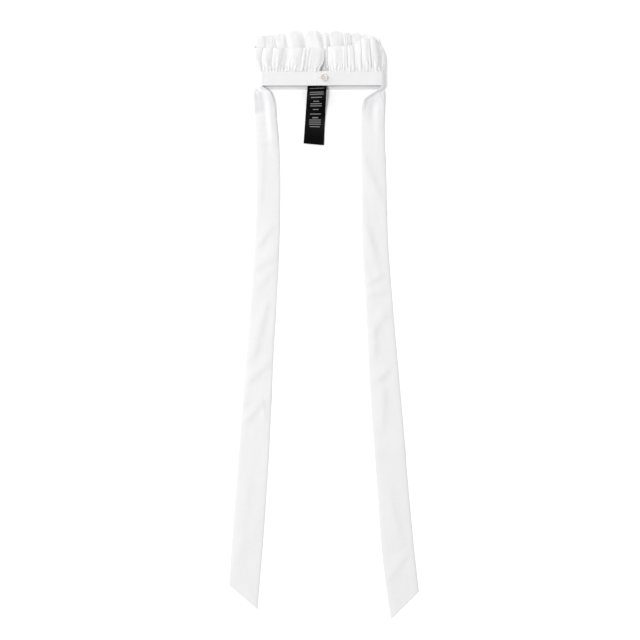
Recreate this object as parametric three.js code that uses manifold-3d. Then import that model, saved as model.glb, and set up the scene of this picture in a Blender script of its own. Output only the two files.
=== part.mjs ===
// Ruffled collar: a buttoned neckband with a gathered frill along its top edge and two long ties.
// It lies flattened on a table, front side up. Millimetres, +Z up from the table and +Y towards
// the frill. The origin is the middle of the back panel's underside.

import * as THREE from 'three';
import { mergeVertices } from 'three/addons/utils/BufferGeometryUtils.js';
import Module from 'manifold-3d';

const wasm = await Module();
wasm.setup();

// Cloth and clearances
const seamGap = 0.3;
const frillWall = 1.0;
const tieWall = 1.6;

// The neckband: a strip that runs round the flattened neck. A place on it is a run, the length
// along the strip from the centre back, negative to the left and positive to the right.
const band = {
  height: 19,
  wall: 1.6,
  frontShift: 3.7,
  underEnd: -199.4,
  tabEnd: 195.1,
  tabRound: { length: 8.5, drop: 11 },
  foldSteps: 10,
};
const leftFold = { side: -1, reach: 87.4, radius: 8.4 };
const rightFold = { side: 1, reach: 87.4, radius: 9.4 };

// The button and its buttonhole, at the centre front
const button = {
  x: 3.2,
  y: 3.4,
  lift: 1.2,
  radius: 5.25,
  thickness: 2.3,
  rim: 1.1,
  dish: 0.7,
  holeRadius: 0.75,
  holeSpread: 1.45,
  sides: 28,
};
const buttonhole = { length: 12.5, width: 2.0, behind: 0.6 };
const thread = { radius: 0.4, shankRadius: 0.7, padRadius: 2.2, padHeight: 0.6, sides: 10 };

// The frill. Each row is a crease, with its run at the seam and at the free edge, the height of
// the puff that follows it, and how far the free edge draws back there.
const creases = [
  { seam: -181.8, edge: -181.8, puff: 1.6, draw: 0 },
  { seam: -164.2, edge: -163.0, puff: 2.6, draw: 0 },
  { seam: -159.0, edge: -158.9, puff: 2.6, draw: 0 },
  { seam: -152.9, edge: -154.7, puff: 4.2, draw: 0 },
  { seam: -136.0, edge: -141.1, puff: -1.4, draw: 0.6 },
  { seam: -127.0, edge: -132.6, puff: 4.0, draw: 0.4 },
  { seam: -114.4, edge: -120.4, puff: 4.2, draw: 0 },
  { seam: -102.3, edge: -108.3, puff: 3.4, draw: 0 },
  { seam: -91.0, edge: -92.0, puff: 3.2, draw: 0 },
  { seam: -78.0, edge: -76.0, puff: 3.4, draw: 0 },
  { seam: -62.0, edge: -64.3, puff: 4.2, draw: 1 },
  { seam: -44.0, edge: -47.7, puff: 5.2, draw: 1.5 },
  { seam: -18.0, edge: -16.9, puff: 4.8, draw: 8 },
  { seam: 6.0, edge: 7.4, puff: 4.2, draw: 4 },
  { seam: 25.0, edge: 26.7, puff: 4.4, draw: 0.5 },
  { seam: 42.0, edge: 45.3, puff: 4.0, draw: 5 },
  { seam: 60.0, edge: 63.0, puff: 4.0, draw: 2.5 },
  { seam: 77.0, edge: 78.0, puff: 3.4, draw: 1 },
  { seam: 91.0, edge: 89.0, puff: 3.2, draw: 0 },
  { seam: 105.7, edge: 100.0, puff: 3.8, draw: 0 },
  { seam: 119.2, edge: 110.8, puff: 4.6, draw: 1 },
  { seam: 134.0, edge: 127.5, puff: 2.4, draw: 1.5 },
  { seam: 139.5, edge: 140.5, puff: 2.8, draw: 0.5 },
  { seam: 148.7, edge: 146.9, puff: 2.6, draw: 0 },
  { seam: 156.4, edge: 154.1, puff: 2.2, draw: 0 },
  { seam: 175.4, edge: 175.4, puff: 0, draw: 0 },
];

// How deep the frill is from seam to free edge, by run
const frillDepth = [
  { run: -182, depth: 33.5 },
  { run: -107, depth: 34 },
  { run: -84, depth: 55 },
  { run: -50, depth: 58.5 },
  { run: -36, depth: 63 },
  { run: -5, depth: 64 },
  { run: 20, depth: 61.5 },
  { run: 60, depth: 60 },
  { run: 80, depth: 56 },
  { run: 108, depth: 48 },
  { run: 130, depth: 44.5 },
  { run: 141, depth: 37 },
  { run: 176, depth: 36 },
];

// How far the free edge leans sideways from its seam, by run
const frillLean = [
  { run: -182, lean: 6.4 },
  { run: -96, lean: -7.5 },
  { run: 0, lean: -9 },
  { run: 92, lean: -9 },
  { run: 176, lean: -2.1 },
];

const frill = {
  valley: 1.8,
  rise: 1.2,
  rows: [0, 0.1, 0.24, 0.45, 0.72, 1],
  stepsPerGather: 4,
  leastSteps: 8,
  gatherPitch: 6,
  gatherHeight: 1.3,
  gatherFade: 0.5,
  settleRun: 16,
  floorGap: 0.1,
};

// The ties, each pleated where it is sewn round a side fold. It spreads to its width and settles
// on the table within these lengths. A row gives the two long edges.
const ties = {
  tie_left: {
    fold: leftFold,
    spread: 8,
    settle: 26,
    ridge: { height: 5, place: 0.62, width: 0.2, fade: 80 },
    shorterSide: 713,
    longerSide: 750,
    phase: 0.4,
    edges: [
      { y: -6, outer: -93.0, inner: -79.0 },
      { y: -12, outer: -96.0, inner: -74.5 },
      { y: -24, outer: -96.3, inner: -68.5 },
      { y: -53, outer: -94.9, inner: -64.6 },
      { y: -95, outer: -93.4, inner: -60.6 },
      { y: -181, outer: -93.4, inner: -59.4 },
      { y: -266, outer: -97.7, inner: -62.2 },
      { y: -394, outer: -107.6, inner: -69.3 },
      { y: -521, outer: -117.6, inner: -75.0 },
      { y: -649, outer: -127.5, inner: -83.5 },
      { y: -750, outer: -134.2, inner: -92.0 },
    ],
  },
  tie_right: {
    fold: rightFold,
    spread: 24,
    settle: 26,
    ridge: { height: 4, place: 0.88, width: 0.14, fade: 50 },
    shorterSide: 722,
    longerSide: 764,
    phase: 2.1,
    edges: [
      { y: -6, outer: 88.0, inner: 80.0 },
      { y: -12, outer: 88.6, inner: 74.5 },
      { y: -24, outer: 89.2, inner: 60.5 },
      { y: -32, outer: 89.0, inner: 57.0 },
      { y: -53, outer: 88.6, inner: 55.7 },
      { y: -138, outer: 91.2, inner: 56.8 },
      { y: -223, outer: 93.6, inner: 57.2 },
      { y: -308, outer: 99.7, inner: 62.2 },
      { y: -436, outer: 111.0, inner: 68.4 },
      { y: -564, outer: 121.6, inner: 77.6 },
      { y: -692, outer: 133.8, inner: 88.0 },
      { y: -764, outer: 142.6, inner: 98.4 },
    ],
  },
};
const tie = {
  columns: 8,
  topRows: [0, 2, 5, 9, 14, 20, 27, 35, 46, 60],
  lowerRows: 20,
  foldFrom: 0.55,
  foldTo: 2.55,
  slantStart: 0.93,
  pleats: 2,
  pleatHeight: 1.8,
  pleatFade: 55,
  ripple: 1.0,
  rippleLength: 95,
};

// The label, sewn inside the back panel and hanging out over its lower edge
const label = {
  width: 30.4,
  wall: 1.0,
  top: 4,
  shift: -7.0,
  slant: 0.042,
  cornerDrop: 2.6,
  columns: 4,
  line: [
    { y: 4, z: 2.4 },
    { y: -11, z: 2.4 },
    { y: -16, z: 3.0 },
    { y: -24, z: 3.0 },
    { y: -38, z: 1.7 },
    { y: -56, z: 0.9 },
    { y: -72, z: 1.0 },
    { y: -86.4, z: 2.2 },
  ],
};

const clothLook = { color: 0xf2f2f4, roughness: 0.92, metalness: 0 };
const labelLook = { color: 0x0c0c0d, roughness: 0.45, metalness: 0 };
const buttonLook = { color: 0xe4e0d9, roughness: 0.25, metalness: 0 };
const threadLook = { color: 0xf0efec, roughness: 0.8, metalness: 0 };

const clamp01 = (t) => Math.min(1, Math.max(0, t));
const ease = (t) => clamp01(t) ** 2 * (3 - 2 * clamp01(t));

// Reads one column of a table at a place, easing from row to row
function readTable(rows, key, column, place) {
  const rising = rows[rows.length - 1][key] > rows[0][key];
  const order = rising ? 1 : -1;
  let k = 0;
  while (k < rows.length - 2 && order * place > order * rows[k + 1][key]) k += 1;
  const from = rows[k];
  const to = rows[k + 1];
  return THREE.MathUtils.lerp(from[column], to[column], ease((place - from[key]) / (to[key] - from[key])));
}

// The same, but along a smooth curve through the rows
function followTable(rows, key, column, place) {
  const points = rows.map((row) => new THREE.Vector2(row[key], row[column]));
  const count = points.length;
  const order = points[count - 1].x > points[0].x ? 1 : -1;
  let k = 0;
  while (k < count - 2 && order * place > order * points[k + 1].x) k += 1;
  const slope = (i) => {
    const a = points[Math.max(0, i - 1)];
    const b = points[Math.min(count - 1, i + 1)];
    return (b.y - a.y) / (b.x - a.x);
  };
  const span = points[k + 1].x - points[k].x;
  const t = clamp01((place - points[k].x) / span);
  const t2 = t * t;
  const t3 = t2 * t;
  return (
    (2 * t3 - 3 * t2 + 1) * points[k].y +
    (t3 - 2 * t2 + t) * span * slope(k) +
    (3 * t2 - 2 * t3) * points[k + 1].y +
    (t3 - t2) * span * slope(k + 1)
  );
}

// A place on the band's middle line: its x and z, the outward normal, and front, which goes from
// 0 on the back panel to 1 on the front panel
function neckLine(run) {
  const fold = run < 0 ? leftFold : rightFold;
  const flat = fold.reach - fold.radius;
  const turn = Math.PI * fold.radius;
  const past = Math.abs(run) - flat;
  const bottom = band.wall / 2;
  if (past <= 0) return { x: run, z: bottom, nx: 0, nz: -1, front: 0 };
  if (past >= turn) {
    return { x: fold.side * (flat - (past - turn)), z: bottom + 2 * fold.radius, nx: 0, nz: 1, front: 1 };
  }
  const angle = past / fold.radius;
  return {
    x: fold.side * (flat + fold.radius * Math.sin(angle)),
    z: bottom + fold.radius * (1 - Math.cos(angle)),
    nx: fold.side * Math.sin(angle),
    nz: -Math.cos(angle),
    front: angle / Math.PI,
  };
}

const bandMiddle = (front) => band.frontShift * ease(front);

// Closes a grid of cloth into one solid. at(i, j) gives the middle of the cloth and half of its
// thickness as a vector.
function clothSolid(columns, rows, at) {
  const positions = [];
  const index = [];
  const sideCount = (columns + 1) * (rows + 1);
  const vertex = (face, i, j) => face * sideCount + i * (rows + 1) + j;
  for (const face of [0, 1]) {
    for (let i = 0; i <= columns; i += 1) {
      for (let j = 0; j <= rows; j += 1) {
        const { middle, half } = at(i, j);
        const corner = middle.clone().addScaledVector(half, face === 0 ? 1 : -1);
        positions.push(corner.x, corner.y, corner.z);
      }
    }
  }
  const quad = (a, b, c, d) => index.push(a, b, c, a, c, d);
  for (let i = 0; i < columns; i += 1) {
    for (let j = 0; j < rows; j += 1) {
      quad(vertex(0, i, j), vertex(0, i + 1, j), vertex(0, i + 1, j + 1), vertex(0, i, j + 1));
      quad(vertex(1, i, j), vertex(1, i, j + 1), vertex(1, i + 1, j + 1), vertex(1, i + 1, j));
    }
    quad(vertex(1, i, 0), vertex(1, i + 1, 0), vertex(0, i + 1, 0), vertex(0, i, 0));
    quad(vertex(0, i, rows), vertex(0, i + 1, rows), vertex(1, i + 1, rows), vertex(1, i, rows));
  }
  for (let j = 0; j < rows; j += 1) {
    quad(vertex(0, 0, j), vertex(0, 0, j + 1), vertex(1, 0, j + 1), vertex(1, 0, j));
    quad(vertex(1, columns, j), vertex(1, columns, j + 1), vertex(0, columns, j + 1), vertex(0, columns, j));
  }
  const geometry = new THREE.BufferGeometry();
  geometry.setAttribute('position', new THREE.Float32BufferAttribute(positions, 3));
  geometry.setIndex(signedVolume(positions, index) < 0 ? index.reverse() : index);
  return geometry;
}

function signedVolume(positions, index) {
  const corner = (k) => new THREE.Vector3().fromArray(positions, 3 * index[k]);
  let volume = 0;
  for (let k = 0; k < index.length; k += 3) {
    volume += corner(k).dot(corner(k + 1).cross(corner(k + 2))) / 6;
  }
  return volume;
}

// Turns a closed geometry into a solid that can be joined and cut, and back
function toSolid(geometry) {
  const plain = geometry.clone();
  plain.deleteAttribute('normal');
  plain.deleteAttribute('uv');
  const merged = mergeVertices(plain, 1e-4);
  return new wasm.Manifold(
    new wasm.Mesh({
      numProp: 3,
      vertProperties: new Float32Array(merged.attributes.position.array),
      triVerts: new Uint32Array(merged.index.array),
    }),
  );
}

function toGeometry(solid) {
  const mesh = solid.getMesh();
  const geometry = new THREE.BufferGeometry();
  geometry.setAttribute('position', new THREE.BufferAttribute(mesh.vertProperties, 3));
  geometry.setIndex(new THREE.BufferAttribute(mesh.triVerts, 1));
  return geometry;
}

// A round post along Z between two heights
function post(radius, x, y, low, high, sides) {
  const geometry = new THREE.CylinderGeometry(radius, radius, high - low, sides);
  geometry.rotateX(Math.PI / 2);
  geometry.translate(x, y, (low + high) / 2);
  return geometry;
}

// Where the band's stations stand: close together round the folds and at the tab's round corner
function bandRuns() {
  const runs = [band.underEnd];
  for (const fold of [leftFold, rightFold]) {
    const flat = fold.reach - fold.radius;
    const turn = Math.PI * fold.radius;
    for (let step = 0; step <= band.foldSteps; step += 1) {
      runs.push(fold.side * (flat + (turn * step) / band.foldSteps));
    }
  }
  runs.push(-26, 40);
  const cornerSteps = 6;
  for (let step = 0; step <= cornerSteps; step += 1) {
    const angle = (Math.PI / 2) * (step / cornerSteps);
    runs.push(band.tabEnd - band.tabRound.length * (1 - Math.sin(angle)));
  }
  return runs.sort((a, b) => a - b);
}

// How far the band's top edge drops at the tab's round corner
function tabDrop(run) {
  const into = (run - (band.tabEnd - band.tabRound.length)) / band.tabRound.length;
  return into <= 0 ? 0 : band.tabRound.drop * (1 - Math.sqrt(Math.max(0, 1 - into * into)));
}

function makeNeckband() {
  const runs = bandRuns();
  const strip = clothSolid(1, runs.length - 1, (i, j) => {
    const place = neckLine(runs[j]);
    const low = bandMiddle(place.front) - band.height / 2;
    const y = i === 0 ? low : low + band.height - tabDrop(runs[j]);
    return {
      middle: new THREE.Vector3(place.x, y, place.z),
      half: new THREE.Vector3(place.nx, 0, place.nz).multiplyScalar(band.wall / 2),
    };
  });
  const slot = new THREE.BoxGeometry(buttonhole.length, buttonhole.width, 1.5 * band.wall);
  slot.translate(button.x - buttonhole.behind, button.y, tabTop() - band.wall / 2);
  return toGeometry(toSolid(strip).subtract(toSolid(slot)));
}

const tabTop = () => band.wall + 2 * rightFold.radius;
const underTop = () => band.wall + 2 * leftFold.radius;

// The frill's height over its middle surface between two creases, at a part of the way across a
// puff and a part of the way from seam to edge
function puffHeight(row, across, down) {
  const gathers = Math.max(1, Math.round((row.next.seam - row.seam) / frill.gatherPitch));
  const rounded = Math.sin(Math.PI * across) ** (0.75 + 0.5 * down);
  const grow = 0.2 + 0.8 * ease(down / 0.24);
  const fine = frill.gatherHeight * (0.5 + 0.5 * ease(down / 0.1)) * (1 - ease(down / frill.gatherFade));
  const ripple = Math.abs(Math.sin(Math.PI * gathers * across)) - 0.5;
  return grow * (row.puff * rounded - frill.valley) + fine * ripple;
}

// Which way a puff stands: outwards at the front and the folds, and up from the table at the back
function puffSide(run) {
  const fold = run < 0 ? leftFold : rightFold;
  const flat = fold.reach - fold.radius;
  return 1 - 2 * ease((flat - Math.abs(run)) / frill.settleRun);
}

// The stations round the frill, each with its crease row and its part of the way to the next
function frillStations() {
  const stations = [];
  creases.slice(0, -1).forEach((crease, k) => {
    const row = { ...crease, next: creases[k + 1] };
    const gathers = Math.max(1, Math.round((row.next.seam - row.seam) / frill.gatherPitch));
    const steps = Math.max(frill.leastSteps, frill.stepsPerGather * gathers);
    for (let step = 0; step < steps; step += 1) stations.push({ row, across: step / steps });
    if (k === creases.length - 2) stations.push({ row, across: 1 });
  });
  return stations;
}

function frillPoint(row, across, down) {
  const seamRun = THREE.MathUtils.lerp(row.seam, row.next.seam, across);
  const edgeRun = THREE.MathUtils.lerp(row.edge, row.next.edge, across);
  const run = THREE.MathUtils.lerp(seamRun, edgeRun, down);
  const place = neckLine(run);
  const draw = THREE.MathUtils.lerp(row.draw, row.next.draw, across);
  const pinch = Math.abs(2 * across - 1) ** 2;
  const depth = readTable(frillDepth, 'run', 'depth', edgeRun) - draw * pinch;
  const height = puffSide(run) * puffHeight(row, across, down);
  const backLift = (1 - ease(place.front)) * frill.valley * (0.3 + 0.9 * ease(down / 0.24));
  const lift = backLift + place.front * frill.rise * down;
  return new THREE.Vector3(
    place.x + place.nx * height + readTable(frillLean, 'run', 'lean', run) * down,
    bandMiddle(place.front) + band.height / 2 + seamGap + depth * down,
    place.z + place.nz * height + lift,
  );
}

function makeRuffle() {
  const stations = frillStations();
  return clothSolid(stations.length - 1, frill.rows.length - 1, (i, j) => {
    const { row, across } = stations[i];
    const down = frill.rows[j];
    const middle = frillPoint(row, across, down);
    const place = neckLine(THREE.MathUtils.lerp(
      THREE.MathUtils.lerp(row.seam, row.next.seam, across),
      THREE.MathUtils.lerp(row.edge, row.next.edge, across),
      down,
    ));
    const step = 0.5 / frill.leastSteps;
    const ahead = frillPoint(row, Math.min(1, across + step), down);
    const behind = frillPoint(row, Math.max(0, across - step), down);
    const slope = ahead.sub(behind);
    const normal = new THREE.Vector3(place.nx, 0, place.nz);
    const climb = Math.abs(slope.dot(normal));
    const level = Math.max(0.3, Math.sqrt(Math.max(0, slope.lengthSq() - climb * climb)));
    const steep = Math.min(1.7, Math.hypot(1, climb / level));
    const half = normal.multiplyScalar((frillWall / 2) * steep);
    middle.z = Math.max(middle.z, Math.abs(half.z) + frill.floorGap);
    return { middle, half };
  });
}

function tiePoint(shape, columnPart, below) {
  const foldAngle = THREE.MathUtils.lerp(tie.foldFrom, tie.foldTo, columnPart);
  const flat = shape.fold.reach - shape.fold.radius;
  const start = neckLine(shape.fold.side * (flat + foldAngle * shape.fold.radius));
  const top = bandMiddle(start.front) - band.height / 2 - seamGap;
  const sideLength = THREE.MathUtils.lerp(shape.shorterSide, shape.longerSide, columnPart);
  const part = below / shape.longerSide;
  const slanted = ease((part - tie.slantStart * 0.8) / (1 - tie.slantStart * 0.8));
  const y = top - below * THREE.MathUtils.lerp(1, (sideLength + top) / (shape.longerSide + top), slanted);
  const outer = followTable(shape.edges, 'y', 'outer', y);
  const inner = followTable(shape.edges, 'y', 'inner', y);
  const spread = 1 - (1 - clamp01(below / shape.spread)) ** 2;
  const settled = 1 - (1 - clamp01(below / shape.settle)) ** 2;
  const { ridge } = shape;
  const ridgeHeight = ridge.height * (1 - ease(below / ridge.fade)) * ease(below / 8);
  const hump = ridgeHeight * Math.exp(-(((columnPart - ridge.place) / ridge.width) ** 2));
  const pleat = tie.pleatHeight * (1 - ease(below / tie.pleatFade)) * ease(below / 5);
  const wave = pleat * (1 + Math.sin(2 * Math.PI * tie.pleats * columnPart + shape.phase));
  const soft = Math.sin((2 * Math.PI * below) / tie.rippleLength + shape.phase + 2.2 * columnPart);
  const ripple = tie.ripple * (0.5 + 0.5 * soft) * ease(below / 60);
  const lyingX = THREE.MathUtils.lerp(outer, inner, columnPart);
  const lyingZ = tieWall / 2 + hump + wave + ripple;
  return new THREE.Vector3(
    THREE.MathUtils.lerp(start.x, lyingX, spread),
    y,
    THREE.MathUtils.lerp(start.z, lyingZ, settled),
  );
}

function makeTie(shape) {
  const lowest = tie.topRows[tie.topRows.length - 1];
  const length = shape.longerSide - band.height / 2;
  const belows = [...tie.topRows];
  for (let step = 1; step <= tie.lowerRows; step += 1) {
    belows.push(THREE.MathUtils.lerp(lowest, length, step / tie.lowerRows));
  }
  return clothSolid(tie.columns, belows.length - 1, (i, j) => {
    const part = i / tie.columns;
    const middle = tiePoint(shape, part, belows[j]);
    const before = tiePoint(shape, Math.max(0, part - 0.02), belows[j]);
    const after = tiePoint(shape, Math.min(1, part + 0.02), belows[j]);
    const run = after.sub(before);
    const normal = new THREE.Vector3(-run.z, 0, run.x).normalize();
    return { middle, half: normal.multiplyScalar(tieWall / 2) };
  });
}

function makeLabel() {
  const line = new THREE.CatmullRomCurve3(label.line.map(({ y, z }) => new THREE.Vector3(0, y, z)));
  const rows = 2 * (label.line.length - 1);
  return clothSolid(label.columns, rows, (i, j) => {
    const across = i / label.columns - 0.5;
    const down = j / rows;
    const place = line.getPoint(down);
    const along = line.getTangent(down);
    return {
      middle: new THREE.Vector3(
        label.shift + label.width * across + label.slant * (place.y - label.top),
        place.y - label.cornerDrop * (across + 0.5) * ease((down - 0.6) / 0.4),
        place.z,
      ),
      half: new THREE.Vector3(0, -along.z, along.y).multiplyScalar(label.wall / 2),
    };
  });
}

const holePlaces = [45, 135, 225, 315].map((degrees) => ({
  x: button.x + Math.SQRT2 * button.holeSpread * Math.cos(THREE.MathUtils.degToRad(degrees)),
  y: button.y + Math.SQRT2 * button.holeSpread * Math.sin(THREE.MathUtils.degToRad(degrees)),
}));

function makeButton() {
  const { radius, thickness, rim, dish } = button;
  const profile = [
    [0, 0],
    [radius - rim, 0],
    [radius, rim * 0.6],
    [radius, thickness - rim * 0.5],
    [radius - rim * 0.4, thickness],
    [radius - rim, thickness],
    [radius - 1.6 * rim, thickness - dish],
    [0, thickness - dish],
  ].map(([x, y]) => new THREE.Vector2(x, y));
  const disc = new THREE.LatheGeometry(profile, button.sides);
  disc.rotateX(Math.PI / 2);
  disc.translate(button.x, button.y, tabTop() + button.lift);
  let solid = toSolid(disc);
  for (const hole of holePlaces) {
    const drill = post(button.holeRadius, hole.x, hole.y, tabTop(), tabTop() + 2 * thickness, thread.sides);
    solid = solid.subtract(toSolid(drill));
  }
  return toGeometry(solid);
}

// The sewing thread: a shank through the buttonhole, a wrapped pad under the button, four legs
// through its holes and two bars over its dish
function makeThread() {
  const padTop = tabTop() + button.lift - seamGap;
  const dishTop = tabTop() + button.lift + button.thickness - button.dish;
  const barHeight = dishTop + seamGap + thread.radius;
  const shank = post(thread.shankRadius, button.x, button.y, underTop() + seamGap, padTop, thread.sides);
  const pad = post(thread.padRadius, button.x, button.y, padTop - thread.padHeight, padTop, thread.sides);
  let solid = toSolid(shank).add(toSolid(pad));
  for (const hole of holePlaces) {
    const leg = post(thread.radius, hole.x, hole.y, padTop - 0.2, barHeight, thread.sides);
    solid = solid.add(toSolid(leg));
  }
  for (const side of [-1, 1]) {
    const bar = new THREE.CylinderGeometry(
      thread.radius,
      thread.radius,
      2 * button.holeSpread + 2 * thread.radius,
      thread.sides,
    );
    bar.translate(button.x + side * button.holeSpread, button.y, barHeight);
    solid = solid.add(toSolid(bar));
  }
  return toGeometry(solid);
}

const collar = new THREE.Group();

function addPiece(name, geometry, look) {
  const mesh = new THREE.Mesh(geometry, new THREE.MeshStandardMaterial(look));
  mesh.name = name;
  collar.add(mesh);
}

addPiece('neckband', makeNeckband(), clothLook);
addPiece('ruffle', makeRuffle(), clothLook);
addPiece('button', makeButton(), buttonLook);
addPiece('button_thread', makeThread(), threadLook);
for (const [name, shape] of Object.entries(ties)) addPiece(name, makeTie(shape), clothLook);
addPiece('care_label', makeLabel(), labelLook);

export default collar;
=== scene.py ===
"""Ruffled neckband collar with two long ties, buttoned and laid flat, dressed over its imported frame."""

import math
from collections import namedtuple
from types import SimpleNamespace

import bpy
import numpy as np
from bpy.props import FloatProperty, FloatVectorProperty, IntProperty, PointerProperty
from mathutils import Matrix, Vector


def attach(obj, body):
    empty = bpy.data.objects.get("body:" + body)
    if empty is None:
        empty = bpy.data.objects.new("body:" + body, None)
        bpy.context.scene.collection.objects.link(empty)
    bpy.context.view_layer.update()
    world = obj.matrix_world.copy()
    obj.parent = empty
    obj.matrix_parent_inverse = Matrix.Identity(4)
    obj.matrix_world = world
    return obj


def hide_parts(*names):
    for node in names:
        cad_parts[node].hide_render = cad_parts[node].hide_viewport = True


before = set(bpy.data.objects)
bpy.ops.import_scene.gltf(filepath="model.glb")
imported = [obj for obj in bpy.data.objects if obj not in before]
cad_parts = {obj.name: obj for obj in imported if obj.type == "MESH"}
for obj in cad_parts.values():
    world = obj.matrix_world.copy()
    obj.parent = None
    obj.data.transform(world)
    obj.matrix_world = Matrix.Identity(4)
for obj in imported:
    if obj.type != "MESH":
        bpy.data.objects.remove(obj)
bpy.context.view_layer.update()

bl_info = {
    "name": "Ruffled Collar",
    "version": (1, 0, 0),
    "blender": (4, 5, 0),
    "location": "3D View > Sidebar > Collar",
    "description": "Builds a cotton neckband collar with a gathered frill, two ties, a button and a label",
    "category": "Add Mesh",
}

MM = 0.001

# The neckband's course. A place on it is a run: the length along it from the centre back, in mm,
# negative to the left and positive to the right. These are the frame's own sizes, but the cloth's
# pressed edges stand half a millimetre proud of the frame's strip.
BAND_WALL = 1.6
BAND_HEIGHT = 20.0
FRONT_SHIFT = 3.2
FOLD_REACH = 87.4
LEFT_RADIUS = 8.4
RIGHT_RADIUS = 9.4
# The cloth is pressed squarer round its side folds than the frame's plain half rounds
FOLD_CORNER = 4.0
UNDER_END = -199.4
TAB_END = 195.1
TAB_ROUND_LENGTH = 8.5
TAB_ROUND_DROP = 11.0
SIDE_SEAM_RUNS = (-103.5, 104.5)
# How thick the band's cloth is on each side of its middle, and how far its edges are rounded off
BAND_HALF = 0.74
BAND_EDGE = 1.3
# How deep and how wide its grooves are along the topstitching and at the side seams, how thick and
# how wide the ridge beside a side seam is, and how thick the seam allowances inside it are
STITCH_GROOVE = 0.3
STITCH_GROOVE_REACH = 0.8
SEAM_GROOVE = 0.28
SEAM_GROOVE_REACH = 0.45
SEAM_RIDGE = 0.12
SEAM_RIDGE_REACH = 1.1
SEAM_RIDGE_AWAY = 1.4
SEAM_ALLOWANCE = 0.14

# Each crease of the frill: its run at the seam and at the free edge, the height of the puff that
# follows it, and how far the free edge draws back there.
Crease = namedtuple("Crease", "seam edge puff draw")
CREASES = (
    Crease(-181.8, -181.8, 1.6, 0),
    Crease(-164.2, -163.0, 2.6, 0),
    Crease(-159.0, -158.9, 2.6, 0),
    Crease(-152.9, -154.7, 4.2, 0),
    Crease(-136.0, -141.1, -1.4, 0.6),
    Crease(-127.0, -132.6, 4.0, 0.4),
    Crease(-114.4, -120.4, 4.2, 0),
    Crease(-102.3, -108.3, 3.4, 0),
    Crease(-91.0, -92.0, 3.2, 0.5),
    Crease(-76.0, -73.4, 3.6, 2),
    Crease(-60.0, -58.4, 4.0, 2.5),
    Crease(-43.0, -42.7, 7.4, 5),
    Crease(-17.0, -16.2, 7.0, 13),
    Crease(8.0, 9.0, 3.4, 5),
    Crease(19.0, 19.0, 6.4, 4),
    Crease(38.0, 39.0, 2.4, 3.5),
    Crease(50.0, 50.0, 4.6, 5),
    Crease(63.0, 64.3, 4.2, 3.5),
    Crease(76.0, 75.5, 3.6, 3),
    Crease(90.0, 88.0, 3.2, 1),
    Crease(102.5, 99.0, 3.8, 0),
    Crease(115.2, 112.0, 4.4, 0.5),
    Crease(128.2, 125.8, 1.6, 1.5),
    Crease(138.3, 137.0, 2.8, 0.5),
    Crease(148.7, 146.9, 2.6, 0),
    Crease(156.4, 154.1, 2.2, 0),
    Crease(175.4, 175.4, 0, 0),
)

# How deep the frill is, and how far its free edge leans sideways, by run
Depth = namedtuple("Depth", "run depth")
FRILL_DEPTH = (
    Depth(-182, 33.5),
    Depth(-99, 34.3),
    Depth(-90, 52),
    Depth(-82, 57),
    Depth(-60, 59),
    Depth(-44, 61),
    Depth(-30, 64.5),
    Depth(-5, 64.8),
    Depth(14, 62),
    Depth(29, 64),
    Depth(44, 61),
    Depth(57, 61.5),
    Depth(72, 60),
    Depth(84, 55.5),
    Depth(108, 48.5),
    Depth(126, 46),
    Depth(139, 37),
    Depth(176, 36),
)
Lean = namedtuple("Lean", "run lean")
FRILL_LEAN = (Lean(-182, 6.5), Lean(-96, -7.5), Lean(0, -9), Lean(70, -9), Lean(93, -5.5), Lean(176, -1.4))
# Fine crinkles between the puffs at the back: where they lie at the free edge, how far they reach to
# either side, the part of the frill's depth at which they start, and how far apart and how deep they are
Crinkle = namedtuple("Crinkle", "run reach start pitch depth")
CRINKLES = (
    Crinkle(-63.0, 3.2, 0.74, 2.6, 1.3),
    Crinkle(5.5, 4.6, 0.62, 2.5, 2.9),
    Crinkle(44.5, 7.0, 0.64, 2.6, 2.7),
)
# How far the frill's creases lie below its course, and how much its front stands up at the free edge
FRILL_VALLEY = 1.8
FRILL_RISE = 1.2
# Lying, the puffs keep this much of their height, and at the back they nearly close at the free edge
PUFF_KEPT = 0.8
BACK_CLOSING = 0.85
# Round the side folds the frill is pressed flatter still
SIDE_PRESS = 0.65
# Behind the front split the back of the frill billows up a little
BILLOW = 8.5
BILLOW_RUN = 8.0
BILLOW_REACH = 10.0
# The whole frill sinks towards its free edge
FRILL_FLATTEN = 0.3
# The puffs stand outwards round the side folds and upwards at the back, and turn over within this run
FRILL_SETTLE = 8.0
# At its side folds the frill bellies outwards, low over the surface: where, how far along, and how far in X
Belly = namedtuple("Belly", "run reach out")
FRILL_BELLIES = (Belly(95.0, 7.0, 4.4), Belly(-97, 14.0, -3.2))
# The right one lies as a low roll under the crease above it: where, how far along, and how high
ROLL_RUN = 97.2
ROLL_REACH = 7.0
ROLL_HEIGHT = 11.0
# Near the left fold the cloth that is deeper than the front lies down flat
CORNER_FLAT = 0.94
CORNER_RUN = -76.0
CORNER_DEPTH = 34.5
# The frill's ends beside the front split droop towards the back
END_DROOP = 3.2
END_REACH = 10.0
# At the right side fold the free edge draws back: where, how far along, and how much
FRILL_CORNER_RUN = 96.0
FRILL_CORNER_REACH = 8.5
FRILL_CORNER = 11.0
# The column of the frill's grid that its hem is measured on, near the middle of the back
HEM_COLUMN = 300

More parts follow.
